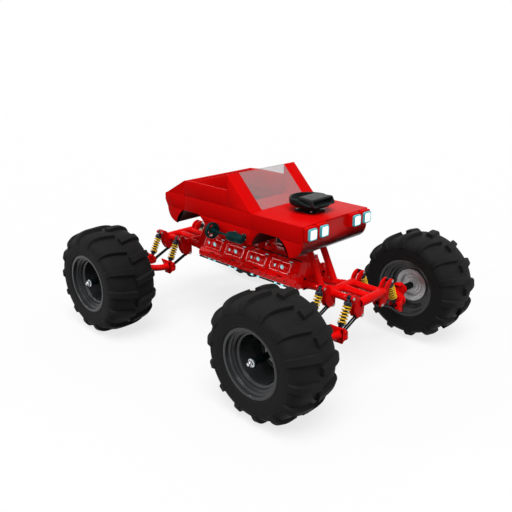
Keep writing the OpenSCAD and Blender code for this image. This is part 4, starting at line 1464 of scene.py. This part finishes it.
    def valley(self) -> tuple[Surface, Surface]:
        """Round runners down the valley with a flange at each foot, and the black clamps round them."""
        red, black = Surface(), Surface()
        big, r = self.runner
        for i in range(self.bays):
            x = self.bay_x + self.bay_l / 2 + i * self.pitch
            a = np.radians(np.linspace(0, 180, 33))
            z0 = self.top_z - 0.012
            path = np.stack([0 * a + x, big * np.cos(a), z0 + big * np.sin(a)], -1)
            red.grid(swept(path, r, 28, (1, 0, 0)))
            for side in (-1, 1):
                foot = Place((x, side * big, self.top_z - 0.006))
                red.grid(foot(turned([[0.056, 0], [0.056, 0.012], [0.053, 0.015], [0.041, 0.015]], 40)))
            for deg in (50, 130):
                t = math.radians(deg)
                place = Place((x, big * math.cos(t), z0 + big * math.sin(t)),
                              ((1, 0, 0), (0, math.cos(t), math.sin(t)), (0, -math.sin(t), math.cos(t))))
                strap = [[r + 0.0005, -0.008], [r + 0.003, -0.008], [r + 0.003, 0.008], [r + 0.0005, 0.008]]
                black.grid(place(turned(strap, 36)), along=True)
        for side in (-1, 1):
            # breather rail along each bank
            black.grid(tube_between((-0.96, side * 0.158, self.top[1] + 0.018),
                                    (0.96, side * 0.158, self.top[1] + 0.018), 0.010))
        return red, black

    def ends(self) -> Surface:
        """Round corner housings at both ends of the ledges, with a domed cap."""
        shape = Surface()
        a = np.linspace(0, np.pi / 2, 9)
        dome = np.stack([0.030 + 0.026 * np.cos(a), 0.030 + 0.022 * np.sin(a)], -1)
        for fore in (-1, 1):
            for side in (-1, 1):
                place = Place((fore * 0.985, side * 0.300, 1.244), ((0, 1, 0), (-fore * 0.5, 0, 0.8660),
                                                                   (fore * 0.8660, 0, 0.5)))
                shape.grid(place(turned(np.concatenate([[[0.060, -0.05], [0.060, 0.026]], dome,
                                                        [[0.006, 0.053]]]), 48)))
                hexagon = turned([[0.075, 0], [0.075, 0.020], [0.068, 0.026]], 6)
                foot = facing_fore((fore * (self.half - 0.004), side * 0.330, 1.140), fore)
                shape.grid(foot(hexagon))
        return shape

    def sump(self) -> Surface:
        """A ribbed pan under the block and two canister filters with crimped rims."""
        pan = filleted([[-0.200, 1.040], [-0.150, 0.985], [0.150, 0.985], [0.200, 1.040]], 0.016)
        shape = Surface().grid(ACROSS(slab(pan, -0.930, 0.930, 0.006)))
        rib = filleted([[-0.190, 1.040], [-0.146, 0.978], [0.146, 0.978], [0.190, 1.040]], 0.012)
        for x in np.linspace(-0.84, 0.84, 9):
            shape.grid(ACROSS(slab(rib, x - 0.007, x + 0.007, 0.003)))
        can = [[0.040, 0.925], [0.050, 0.928], [0.055, 0.936], [0.055, 0.972], [0.058, 0.975],
               [0.058, 0.981], [0.055, 0.984]]
        for x in (-0.330, 0.060):
            shape.grid(turned(can, 48) + np.array([x, 0, 0]))
        return shape

    def build(self) -> None:
        """Publishes block, bays, covers, runners, fasteners and sump."""
        red, black = self.valley()
        publish("engine_block_cast", self.block_shape().add(self.ends()), Finishes.enamel, "engine_block")
        publish("engine_bays", self.bay_shape(), Finishes.enamel, "cylinder_heads")
        publish("engine_covers_glossy", self.covers(), Finishes.enamel, sharp_deg=DOME_FOLD)
        pipe, sleeves = self.trims()
        # the badges and sleeves glow pale cyan as painted glints
        publish("engine_badges", self.badges().add(sleeves), Finishes.painted_glint, sharp_deg=DOME_FOLD)
        publish("engine_pipes", pipe, Finishes.powder_black)
        publish("engine_runners", red, Finishes.enamel, "intake_pipes")
        publish("engine_clamps", black, Finishes.powder_black)
        publish("engine_bolts", self.fasteners(), Finishes.powder_black)
        publish("engine_sump", self.sump(), Finishes.powder_black, "sump_tray")


@dataclass
class SideDrive:
    """A spoked wheel, its cone and shaft, and a rounded motor on the right sill."""

    x: float = -0.212
    y: float = -0.857
    z: float = 1.800
    wall_y: float = -0.727
    ring_r: float = 0.124
    ring_half: float = 0.028
    spokes: int = 5

    def build(self) -> None:
        """Publishes the drive as one black piece and its bolts."""
        line = facing_fore((self.x, self.y, self.z))
        shape = Surface()
        shape.grid(line(turned([[0.014, -0.110], [0.017, -0.107], [0.017, 0.350]], 32)))
        h, r = self.ring_half, self.ring_r
        felly = filleted([[r - 0.026, -h], [r, -h], [r, -0.010], [r - 0.008, 0], [r, 0.010], [r, h],
                                   [r - 0.026, h], [r - 0.020, 0]], 0.006, 4)
        shape.grid(line(turned(felly, 72)), along=True)
        shape.grid(line(turned([[0.040, -h - 0.006], [0.044, -h], [0.048, -h + 0.004], [0.030, 0.084],
                                         [0.024, 0.088]], 48)))
        t = np.linspace(0, 1, 12)[:, None]
        a = circle(16)[None]
        wide, thick = 0.013 - 0.004 * np.sin(np.pi * t), 0.016 - 0.004 * t
        spoke = np.stack([0.030 + (r - 0.048) * t + 0 * a, wide * np.cos(a), thick * np.sin(a)], -1)
        for k in range(self.spokes):
            c, s = math.cos(2 * math.pi * k / self.spokes), math.sin(2 * math.pi * k / self.spokes)
            shape.grid(Place(line.origin, tuple(line(np.array([[c, s, 0], [-s, c, 0], [0, 0, 1.0]]))
                                                - np.array(line.origin)))(spoke))
        q = np.linspace(0, np.pi / 2, 10)
        nose = np.stack([0.024 + 0.048 * np.sin(q), 0.330 + 0.070 * (1 - np.cos(q))], -1)
        tail = np.stack([0.024 + 0.048 * np.cos(q), 0.590 + 0.070 * np.sin(q)], -1)
        shape.grid(line(turned(np.concatenate([nose, tail]), 56)))
        for x in (0.44, 0.465, 0.49, 0.515, 0.54):
            fin = np.array([[0.071, x - 0.004], [0.0755, x - 0.003], [0.0755, x + 0.003],
                            [0.071, x + 0.004]])
            shape.grid(line(turned(fin, 56)), along=True)
        heads = []
        for x in (-0.070, 0.380, 0.560):
            shape.grid(block((self.x + x - 0.014, self.y - 0.002, self.z - 0.024),
                             (self.x + x + 0.014, self.wall_y - 0.010, self.z + 0.024), 0.006, 0.004))
            shape.grid(block((self.x + x - 0.034, self.wall_y - 0.012, self.z - 0.044),
                             (self.x + x + 0.034, self.wall_y - 0.0005, self.z + 0.044), 0.004, 0.003))
            heads += [facing_side((self.x + x + u, self.wall_y - 0.012, self.z + v), -1)
                      for u in (-0.024, 0.024) for v in (-0.034, 0.034)]
        publish("drive_spoked", shape, Finishes.phosphate, "side_drive")
        publish("drive_bolts", bolts(heads, 0.014, 0.006, 0.0015), Finishes.zinc)


# ---------- body ----------

def band(path: Array, thick: float) -> Array:
    """A closed outline: a path and its copy moved inwards by a thickness, square to the path."""
    t = np.gradient(path, axis=0)
    t /= np.linalg.norm(t, axis=1, keepdims=True)
    return np.concatenate([path, (path + thick * np.stack([-t[:, 1], t[:, 0]], -1))[::-1]])


@dataclass
class Body:
    """The moulded shell: side panels cut out over the wheels, skins across the truck, pillars and glass."""

    half: float = 0.727
    wall: float = 0.024
    bottom: float = 1.690
    belt: float = 2.171
    seam_z: float = 1.9275
    seam: float = 0.0015
    nose: float = 1.428
    roll: float = 0.230
    screen_x: float = 0.456
    tub: tuple[float, float] = (-0.016, -0.998)
    tub_z: tuple[float, float] = (2.420, 2.404)
    arch_r: float = 0.374
    arch_z: float = 1.600
    arch_x: tuple[float, float] = (0.835, -0.854)
    arch_flat: float = 1.926
    edge: float = 0.004
    pillar_in: float = 0.485
    top_z: float = 2.645

    def __post_init__(self) -> None:
        """Works out where the arches meet the bottom edge and their own flat tops, in degrees."""
        self.foot_deg = math.degrees(math.asin((self.bottom - self.arch_z) / self.arch_r))
        self.flat_deg = math.degrees(math.asin((self.arch_flat - self.arch_z) / self.arch_r))

    def arch_side(self, x: float, fore: int, downward: bool) -> Array:
        """One curved side of a wheel arch, walked up or down.

        Args:
            x: the arch's centre.
            fore: +1 for its front side, -1 for its rear side.
            downward: start at the flat top.

        Returns:
            (n, 2) points of [x, z].
        """
        a = np.array([self.flat_deg, self.foot_deg] if downward else [self.foot_deg, self.flat_deg])
        a = a if fore > 0 else 180 - a
        return arc((x, self.arch_z), self.arch_r, a[0], a[1], 16)

    def nose_roll(self) -> Array:
        """The rounded lower edge of the nose, from the bottom to the front."""
        return arc((self.nose - self.roll, self.bottom + self.roll), self.roll, -90, 0, 24)

    def tail_path(self) -> Array:
        """The rounded lower edge of the tail and its raked panel up to the corner of the deck."""
        roll = arc((-self.nose + self.roll, self.bottom + self.roll), self.roll, 270, 180, 24)
        rake = filleted([roll[-1], [-1.492, 2.033], [-1.485, 2.137], [-1.2, 2.20]], 0.03, 5)
        return np.concatenate([roll, rake[5:15]])

    def side_outlines(self) -> dict[str, list[Array]]:
        """Every side panel's outlines of [x, z], split at the crease."""
        f, r = self.arch_x
        up, down = self.seam_z + self.seam, self.seam_z - self.seam
        x0, x1 = self.screen_x + self.seam, self.screen_x - self.seam
        t0, t1 = self.tub[1] + self.seam, self.tub[1] - self.seam
        fenders = [np.array([[x0, up], [self.nose, up], [self.nose, self.belt], [x0, self.belt]]),
                   np.concatenate([[[x0, self.bottom]], self.arch_side(f, -1, False), [[x0, down]]]),
                   np.concatenate([self.nose_roll(), [[self.nose, down], [f + 0.19, down]],
                                   self.arch_side(f, 1, True)])]
        over, under = self.belt + self.seam, self.belt - self.seam
        cab = [
            np.array([[t0, up], [x1, up], [x1, under], [t0, under]]),
            np.array([[t0, over], [self.tub[0], over], [self.tub[0], self.tub_z[0]], [-0.8, self.tub_z[0]],
                      [t0, self.tub_z[1]]]),
            np.concatenate([[[x1, self.bottom], [x1, down], [r + 0.19, down]], self.arch_side(r, 1, True)])]
        tail = self.tail_path()
        rear = [np.array([[t1, up], [t1, under], [-1.397, under], [-1.485, 2.137], [-1.492, 2.033],
                          [-1.434, up]]), np.array([[t1, over], [t1, self.tub_z[1]], [-1.406, over]]),
                np.concatenate([[[r - 0.19, down], [-1.433, down]], tail[:23][::-1],
                                self.arch_side(r, -1, False)])]
        return {"fenders": fenders, "cab_sides": cab, "rear_quarters": rear}

    def sides(self) -> None:
        """Publishes the side panels of both sides, one piece for each CAD panel."""
        for name, outlines in self.side_outlines().items():
            shape = Surface()
            for outline in outlines:
                for side in (-1, 1):
                    shape.grid(ALONG(slab(outline, *pair(side, self.half - self.wall, self.half),
                                          self.edge)))
            publish(f"{name}_moulded", shape, Finishes.gelcoat, name, MOULDED_FOLD)

    def skins(self) -> None:
        """Publishes the skins that run across the truck."""
        y, t = self.half - self.wall, self.wall
        roll = self.nose_roll()[2:]
        front = np.concatenate([roll, [[self.nose, 2.0], [self.nose, self.belt - t]]])
        tail = self.tail_path()[2:]
        deck = np.array([[-1.485, 2.137], [self.tub[1], self.tub_z[1]]])
        pieces = {
            "hood": [box_outline(self.screen_x + self.seam, self.nose, self.belt - t, self.belt)],
            "cowl": [box_outline(self.tub[0], self.screen_x - self.seam, self.belt - t, self.belt)],
            "front_panel": [band(front, t)],
            "tail_section": [band(tail[-4::-1], t), band(deck[::-1], t)],
            "floor_pan": [box_outline(-0.470, 0.448, self.bottom, self.bottom + t)],
        }
        # the nose and tail rolls darken towards their bottoms as painted shade
        finishes = {"front_panel": Finishes.shaded_roll, "tail_section": Finishes.shaded_roll,
                    # the floor pan is painted dark all over as painted shade
                    "floor_pan": Finishes.underside_shade}
        for name, outlines in pieces.items():
            shape = Surface()
            for outline in outlines:
                shape.grid(ALONG(slab(outline, -y, y, self.edge)))
            finish = finishes.get(name, Finishes.gelcoat)
            publish(f"{name}_moulded", shape, finish, name, MOULDED_FOLD)

    def inside(self) -> None:
        """Publishes the arch liners and the walls of the tub."""
        y, t = self.half - self.wall, self.wall
        liners = Surface()
        for x in self.arch_x:
            walk = np.concatenate([self.arch_side(x, 1, False), self.arch_side(x, -1, True)])
            liners.grid(ALONG(slab(band(walk[::-1], t), -y, y, 0.002)))
        # the arch liners are painted dark as painted shade inside the arches
        publish("arch_liners_moulded", liners, Finishes.underside_shade, "arch_liners", MOULDED_FOLD)
        roof = self.arch_flat + t
        walls = Surface()
        walls.grid(block((self.tub[1], -y, roof), (self.tub[1] + 0.030, y, self.tub_z[1] - 0.030), 0.004,
                         0.004))
        walls.grid(block((self.tub[0], -y, self.bottom + t), (self.tub[0] + t, y, self.belt - t), 0.004,
                         0.004))
        publish("bulkheads_moulded", walls, Finishes.laminate, "bulkheads")

    def trim(self) -> None:
        """Publishes a raised panel with rounded corners on the inner face of each tub side, in the lighter
        inside red: a painted patch of light on the far wall.
        """
        shape = Surface()
        outline = filleted(box_outline(self.tub[1] + 0.034, -0.222, 2.092, 2.408), 0.085, 10)
        skin = self.half - self.wall
        for side in (-1, 1):
            shape.grid(ALONG(slab(outline, *pair(side, skin - 0.014, skin - 0.0005), 0.006, 4)))
        publish("tub_side_panels", shape, Finishes.laminate, sharp_deg=MOULDED_FOLD)

    def pillars(self) -> None:
        """Publishes the wedge pillars with rounded edges."""
        wedge = filleted(np.array([[self.screen_x, self.belt], [self.tub[0], self.belt],
                                   [self.tub[0], self.top_z]])[::-1], 0.006, 4)
        shape = Surface()
        for side in (-1, 1):
            shape.grid(ALONG(slab(wedge, *pair(side, self.pillar_in, self.half), 0.005)))
        publish("pillars_moulded", shape, Finishes.gelcoat, "pillars", MOULDED_FOLD)

    def build(self) -> None:
        """Publishes the shell and gives the windscreen its glass."""
        self.sides()
        self.skins()
        self.inside()
        self.trim()
        self.pillars()
        dress("windscreen", Finishes.glass)
        # laminated glass passes nearly all the light, so it throws no shadow on the cowl
        frame["nodes"]["windscreen"].visible_shadow = False


@dataclass
class Headlamps:
    """Four square lamps in rounded red tubs on the nose."""

    x: float = 1.4283
    depth: float = 0.066
    places: tuple[float, float] = (0.366, 0.608)
    z: float = 2.062
    half: float = 0.104
    bezel: float = 0.080
    lens: float = 0.064
    front: float = 1.530

    def build(self) -> None:
        """Publishes tubs, tinted bezels and lit lenses."""
        tubs, rims, lenses = Surface(), Surface(), Surface()
        rounded = filleted(box_outline(-1, 1, -1, 1), 0.34, 8)
        for y in (*self.places, *(-p for p in self.places)):
            centre = np.array([y, self.z])
            tubs.grid(ACROSS(slab(centre + self.half * rounded, self.x, self.x + self.depth, 0.016, 6)))
            x0 = self.x + self.depth - 0.008
            ring = [(self.bezel, x0), (self.bezel, self.front - 0.010),
                    (self.bezel - 0.004, self.front - 0.002), (self.bezel - 0.010, self.front),
                    (self.lens + 0.002, self.front - 0.001), (self.lens, self.front - 0.006),
                    (self.lens, x0)]
            rims.grid(ACROSS(stacked([(centre + r * rounded, x) for r, x in ring])), along=True)
            face = facing_fore((self.front - 0.005, y, self.z))
            lenses.grid(pillow(face, (self.lens, self.lens), 0.013, 0.03, 6, 3))
        publish("lamp_tubs", tubs, Finishes.gelcoat, "headlamp_housings", MOULDED_FOLD)
        publish("lamp_bezels", rims, Finishes.lens_rim)
        publish("lamp_lenses", lenses, Finishes.lens, "headlamps", DOME_FOLD)


@dataclass
class AirIntake:
    """A four-lobed base and round pan with a wide forward scoop."""

    place: Place = Place((0.945, 0.0, 2.171))
    base_h: float = 0.022
    lobe: tuple[float, float, float] = (0.158, 0.060, 0.20)
    pan_z: float = 0.076
    pan_r: float = 0.304
    scoop: tuple[float, float, float] = (0.272, 0.235, 0.110)
    wall: float = 0.022

    def base(self) -> Array:
        """The lobed plate: at angle a its radius is base + lobe * (0.5 - 0.5 cos 4a) ** power."""
        a = circle(192)
        base, ear, _ = self.lobe
        r = base + ear * (0.5 - 0.5 * np.cos(4 * a)) ** 0.8
        outline = np.stack([r * np.cos(a), r * np.sin(a)], -1)
        return slab(outline, 0, self.base_h, 0.006)

    def mouth(self) -> Array:
        """The scoop as rings from the back of its mouth out to its lip and back over its outside."""
        long, half, tall = self.scoop
        z0, w = self.pan_z + 0.036, self.wall
        outer = filleted(box_outline(-half, half, z0, z0 + tall), 0.034, 8)
        inner = filleted(box_outline(-half + w, half - w, z0 + w, z0 + tall - w), 0.018, 8)
        rings = [(inner, 0.150), (inner, long - 0.006), (shrunk(inner, -0.004), long),
                 (shrunk(outer, 0.006), long), (outer, long - 0.006), (outer, -0.044),
                 (shrunk(outer, 0.006), -0.060)]
        rows = ACROSS(stacked(rings))
        rake = 0.055 * np.clip((rows[..., 2] - z0) / tall, 0, 1) * np.clip(rows[..., 0] / long, 0, 1)
        rows[..., 0] -= rake
        rows[..., 1] *= 0.84 + 0.16 * np.clip(rows[..., 0] / (long - 0.06), 0, 1)
        return rows

    def build(self) -> None:
        """Publishes base and pan in black, and the scoop with its vanes in grey."""
        z = self.pan_z
        pan = filleted([[0.02, z], [0.220, z], [0.285, z + 0.022], [self.pan_r, z + 0.052],
                        [self.pan_r, z + 0.112], [0.292, z + 0.126], [0.280, z + 0.122], [0.268, z + 0.09],
                        [0.255, z + 0.062], [0.02, z + 0.062]], 0.010, 5)
        neck = np.array([[0.158, 0.012], [0.158, 0.026], [0.150, 0.030], [0.150, self.pan_z + 0.02]])
        dish = turned(pan, 96)
        # the rim is high behind the scoop and low below its mouth
        low = 0.062 * np.clip((dish[..., 0] - 0.02) / 0.16, 0, 1)
        dish[..., 2] -= low * np.clip((dish[..., 2] - z - 0.05) / 0.04, 0, 1)
        shape = Surface().grid(self.base()).grid(turned(neck, 96)).grid(dish, along=True)
        heads = [Place((0.182 * c, 0.182 * s, self.base_h)) for c in (-0.7071, 0.7071) for s in (-0.7071,
                                                                                                 0.7071)]
        long, half, tall = self.scoop
        vanes = Surface().grid(self.mouth())
        for k in (1, 2):
            z = self.pan_z + 0.036 + tall * k / 3
            vanes.grid(block((0.16, -half + self.wall + 0.006, z - 0.003),
                             (long - 0.065, half - self.wall - 0.006, z + 0.003), 0.001, 0.001))
        publish("intake_pan", shape.move(self.place), Finishes.nylon, "air_intake", MOULDED_FOLD)
        publish("intake_scoop", vanes.move(self.place), Finishes.scoop, sharp_deg=MOULDED_FOLD)
        publish("intake_bolts", bolts(heads, 0.030, 0.012, 0.003).move(self.place), Finishes.zinc)


@dataclass
class Seat:
    """A bucket seat: a moulded shell, a crowned cushion and a padded back with side bolsters."""

    x: float = -0.440
    half: float = 0.230
    floor: float = 1.714
    base: float = 1.734

    def build(self) -> None:
        """Publishes shell, cushion and back."""
        x, z = self.x, self.base
        shell = Surface()
        shell.grid(block((x + 0.03, -self.half + 0.06, self.floor), (x + 0.35, self.half - 0.06, z + 0.01),
                         0.02))
        shell.grid(block((x, -self.half, z), (x + 0.40, self.half, z + 0.085), 0.03, 0.012))
        shell.grid(block((x, -self.half, z + 0.04), (x + 0.045, self.half, z + 0.284), 0.02, 0.012))
        for side in (-1, 1):
            wing = filleted([[x + 0.02, z + 0.07], [x + 0.395, z + 0.07], [x + 0.38, z + 0.125],
                             [x + 0.13, z + 0.150], [x + 0.108, z + 0.255], [x + 0.02, z + 0.275]], 0.022,
                            6)
            shell.grid(ALONG(slab(wing, *pair(side, self.half - 0.05, self.half), 0.016, 5)))
        publish("seat_shell", shell, Finishes.nylon, "seat")
        cushion = Place((x + 0.225, 0, z + 0.090))
        back = Place((x + 0.046, 0, z + 0.192), ((0, 1, 0), (-0.05, 0, 1), (1, 0, 0.05)))
        for name, place, size in (("seat_cushion", cushion, (0.165, 0.172)),
                                  ("seat_back", back, (0.172, 0.082))):
            points = pillow(place, size, 0.044, 0.012, 5, 3, 72, 22)
            # sewn channels: the crown dips along five lines across the pad
            local = (points - np.array(place.origin)) @ np.linalg.pinv(np.array(place.axes, float))
            dip = 0.006 * np.exp(-((np.mod(local[..., 0] / size[0] * 3, 1) - 0.5) / 0.07) ** 2)
            points = points - (dip * (local[..., 2] > 0.01))[..., None] * np.array(place.axes[2])
            piece = publish(name, Surface().grid(points), Finishes.vinyl, sharp_deg=PADDED_FOLD)


# ---------- studio ----------

class Lamp(Enum):
    """The kinds of lamp in the studio."""

    SUN = "SUN"
    CARD = "AREA"


@dataclass(frozen=True)
class Studio:
    """Floor, world, lamps and the camera."""

    lens_mm: float = 44.18
    azimuth_deg: float = 44.587
    elevation_deg: float = 19.383
    roll_deg: float = 0.263
    distance: float = 9.945
    target: Point = (-0.065, -0.074, 1.240)
    ambient: float = 0.28
    sun: float = 2.25
    spark: float = 0.25

    def seen_white(self, tree: bpy.types.NodeTree, share: float = 1.0) -> bpy.types.NodeSocket:
        """A share for camera, glossy and transmission rays, which show the background, and 0 for others."""
        path = add(tree, "LightPath")
        some = add(tree, "Math", {0: path.outputs["Is Camera Ray"], 1: path.outputs["Is Glossy Ray"]},
                   operation="MAXIMUM")
        both = add(tree, "Math", {0: some.outputs[0], 1: path.outputs["Is Transmission Ray"]},
                   operation="MAXIMUM")
        return add(tree, "Math", {0: both.outputs[0], 1: share}, operation="MULTIPLY").outputs[0]

    def floor(self) -> None:
        """A plain pale floor that shows white but keeps the shadow."""
        size = 60.0
        mesh = bpy.data.meshes.new("floor")
        mesh.from_pydata([(-size, -size, 0), (size, -size, 0), (size, size, 0), (-size, size, 0)], [],
                         [(0, 1, 2, 3)])
        plane = bpy.data.objects.new("floor", mesh)
        bpy.context.scene.collection.objects.link(plane)
        made = bpy.data.materials.new("studio_floor_painted")
        made.use_nodes = True
        tree = made.node_tree
        paint = tree.nodes["Principled BSDF"]
        # seen directly the paint is pale; the light that it throws on the object is that of a grey floor
        shade = add(tree, "MapRange", {"Value": self.seen_white(tree), "To Min": 0.10, "To Max": 0.597})
        tree.links.new(shade.outputs["Result"], paint.inputs["Base Color"])
        paint.inputs["Roughness"].default_value = 0.9
        paint.inputs["Specular IOR Level"].default_value = 0.1
        # the glow is a little over white, so that paint and glow together show white where no shadow falls
        glow = add(tree, "Emission", {"Strength": 1.27})
        mix = add(tree, "MixShader", {0: self.seen_white(tree, 0.6), 1: paint.outputs[0],
                                                2: glow.outputs[0]})
        tree.links.new(mix.outputs[0], tree.nodes["Material Output"].inputs["Surface"])
        mesh.materials.append(made)

    def world(self) -> None:
        """White where it is seen, and a dimmer even light on the object."""
        world = bpy.data.worlds.new("studio")
        bpy.context.scene.world = world
        world.use_nodes = True
        tree = world.node_tree
        back = tree.nodes["Background"]
        level = add(tree, "MapRange", {"Value": self.seen_white(tree), "To Min": self.ambient,
                                                 "To Max": 1.0})
        tree.links.new(level.outputs["Result"], back.inputs["Strength"])
        back.inputs["Color"].default_value = (1, 1, 1, 1)

    def lamp(self, name: str, kind: Lamp, power: float, place: Point, aim: Point, size: float) -> None:
        """A lamp at a place, turned to its aim; size is metres for an area and degrees for a sun."""
        light = bpy.data.lights.new(name, kind.value)
        light.energy = power
        if kind is Lamp.SUN:
            light.angle = math.radians(size)
        else:
            light.size = size
        lamp = bpy.data.objects.new(name, light)
        lamp.location = place
        lamp.rotation_euler = (Vector(place) - Vector(aim)).to_track_quat("Z", "Y").to_euler()
        bpy.context.scene.collection.objects.link(lamp)

    def camera(self) -> None:
        """The camera on its orbit round the target."""
        az, el = math.radians(self.azimuth_deg), math.radians(self.elevation_deg)
        out = Vector((math.sin(az) * math.cos(el), -math.cos(az) * math.cos(el), math.sin(el)))
        data = bpy.data.cameras.new("camera")
        data.lens = self.lens_mm
        data.clip_end = 200
        eye_at = bpy.data.objects.new("camera", data)
        eye_at.location = Vector(self.target) + out * self.distance
        turn = out.to_track_quat("Z",
                                 "Y").to_matrix().to_4x4() @ Matrix.Rotation(math.radians(self.roll_deg), 4,
                                                                             "Z")
        eye_at.rotation_euler = turn.to_euler()
        bpy.context.scene.collection.objects.link(eye_at)
        bpy.context.scene.camera = eye_at

    def build(self) -> None:
        """Makes the whole studio."""
        self.camera()
        self.floor()
        self.world()
        self.lamp("sky", Lamp.SUN, self.sun, (1.8, -2.2, 6), (0, 0, 0), 40)
        self.lamp("left_card", Lamp.CARD, 10, (1.4, -6.5, 3.6), (0, 0, 1.2), 1.2)
        self.lamp("right_card", Lamp.CARD, 8, (6.8, -0.8, 3.2), (0, 0, 1.2), 0.9)
        self.lamp("spark", Lamp.SUN, self.spark, (-6.5, -6.7, 3.4), (0, 0, 0), 5)
        bpy.context.scene.view_settings.view_transform = "Standard"


def main() -> None:
    """Builds the truck sub-assembly by sub-assembly, then the studio."""
    logging.basicConfig(level=logging.INFO, format="%(name)s %(message)s")
    Studio().build()
    turns = {"fr": 16.8, "fl": 3.7, "rr": 21.8, "rl": 9.0}
    for corner in Corner.all():
        Tyre(corner, turns[corner.tag]).build()
        Rim(corner).build()
        Hub(corner).build()
        Upright(corner).build()
    Suspension().build()
    for fore, name in ((1, "front"), (-1, "rear")):
        tubes, heads = EndFrame(fore).build()
        publish(f"{name}_frame_tubes", tubes, Finishes.powder_red, f"{name}_frame")
        publish(f"{name}_frame_bolts", heads, Finishes.powder_black)
    for part in (Supports(), Engine(), SideDrive(), Body(), Headlamps(), AirIntake(), Seat()):
        part.build()
        log.info("built %s", type(part).__name__)


if __name__ == "__main__":
    main()
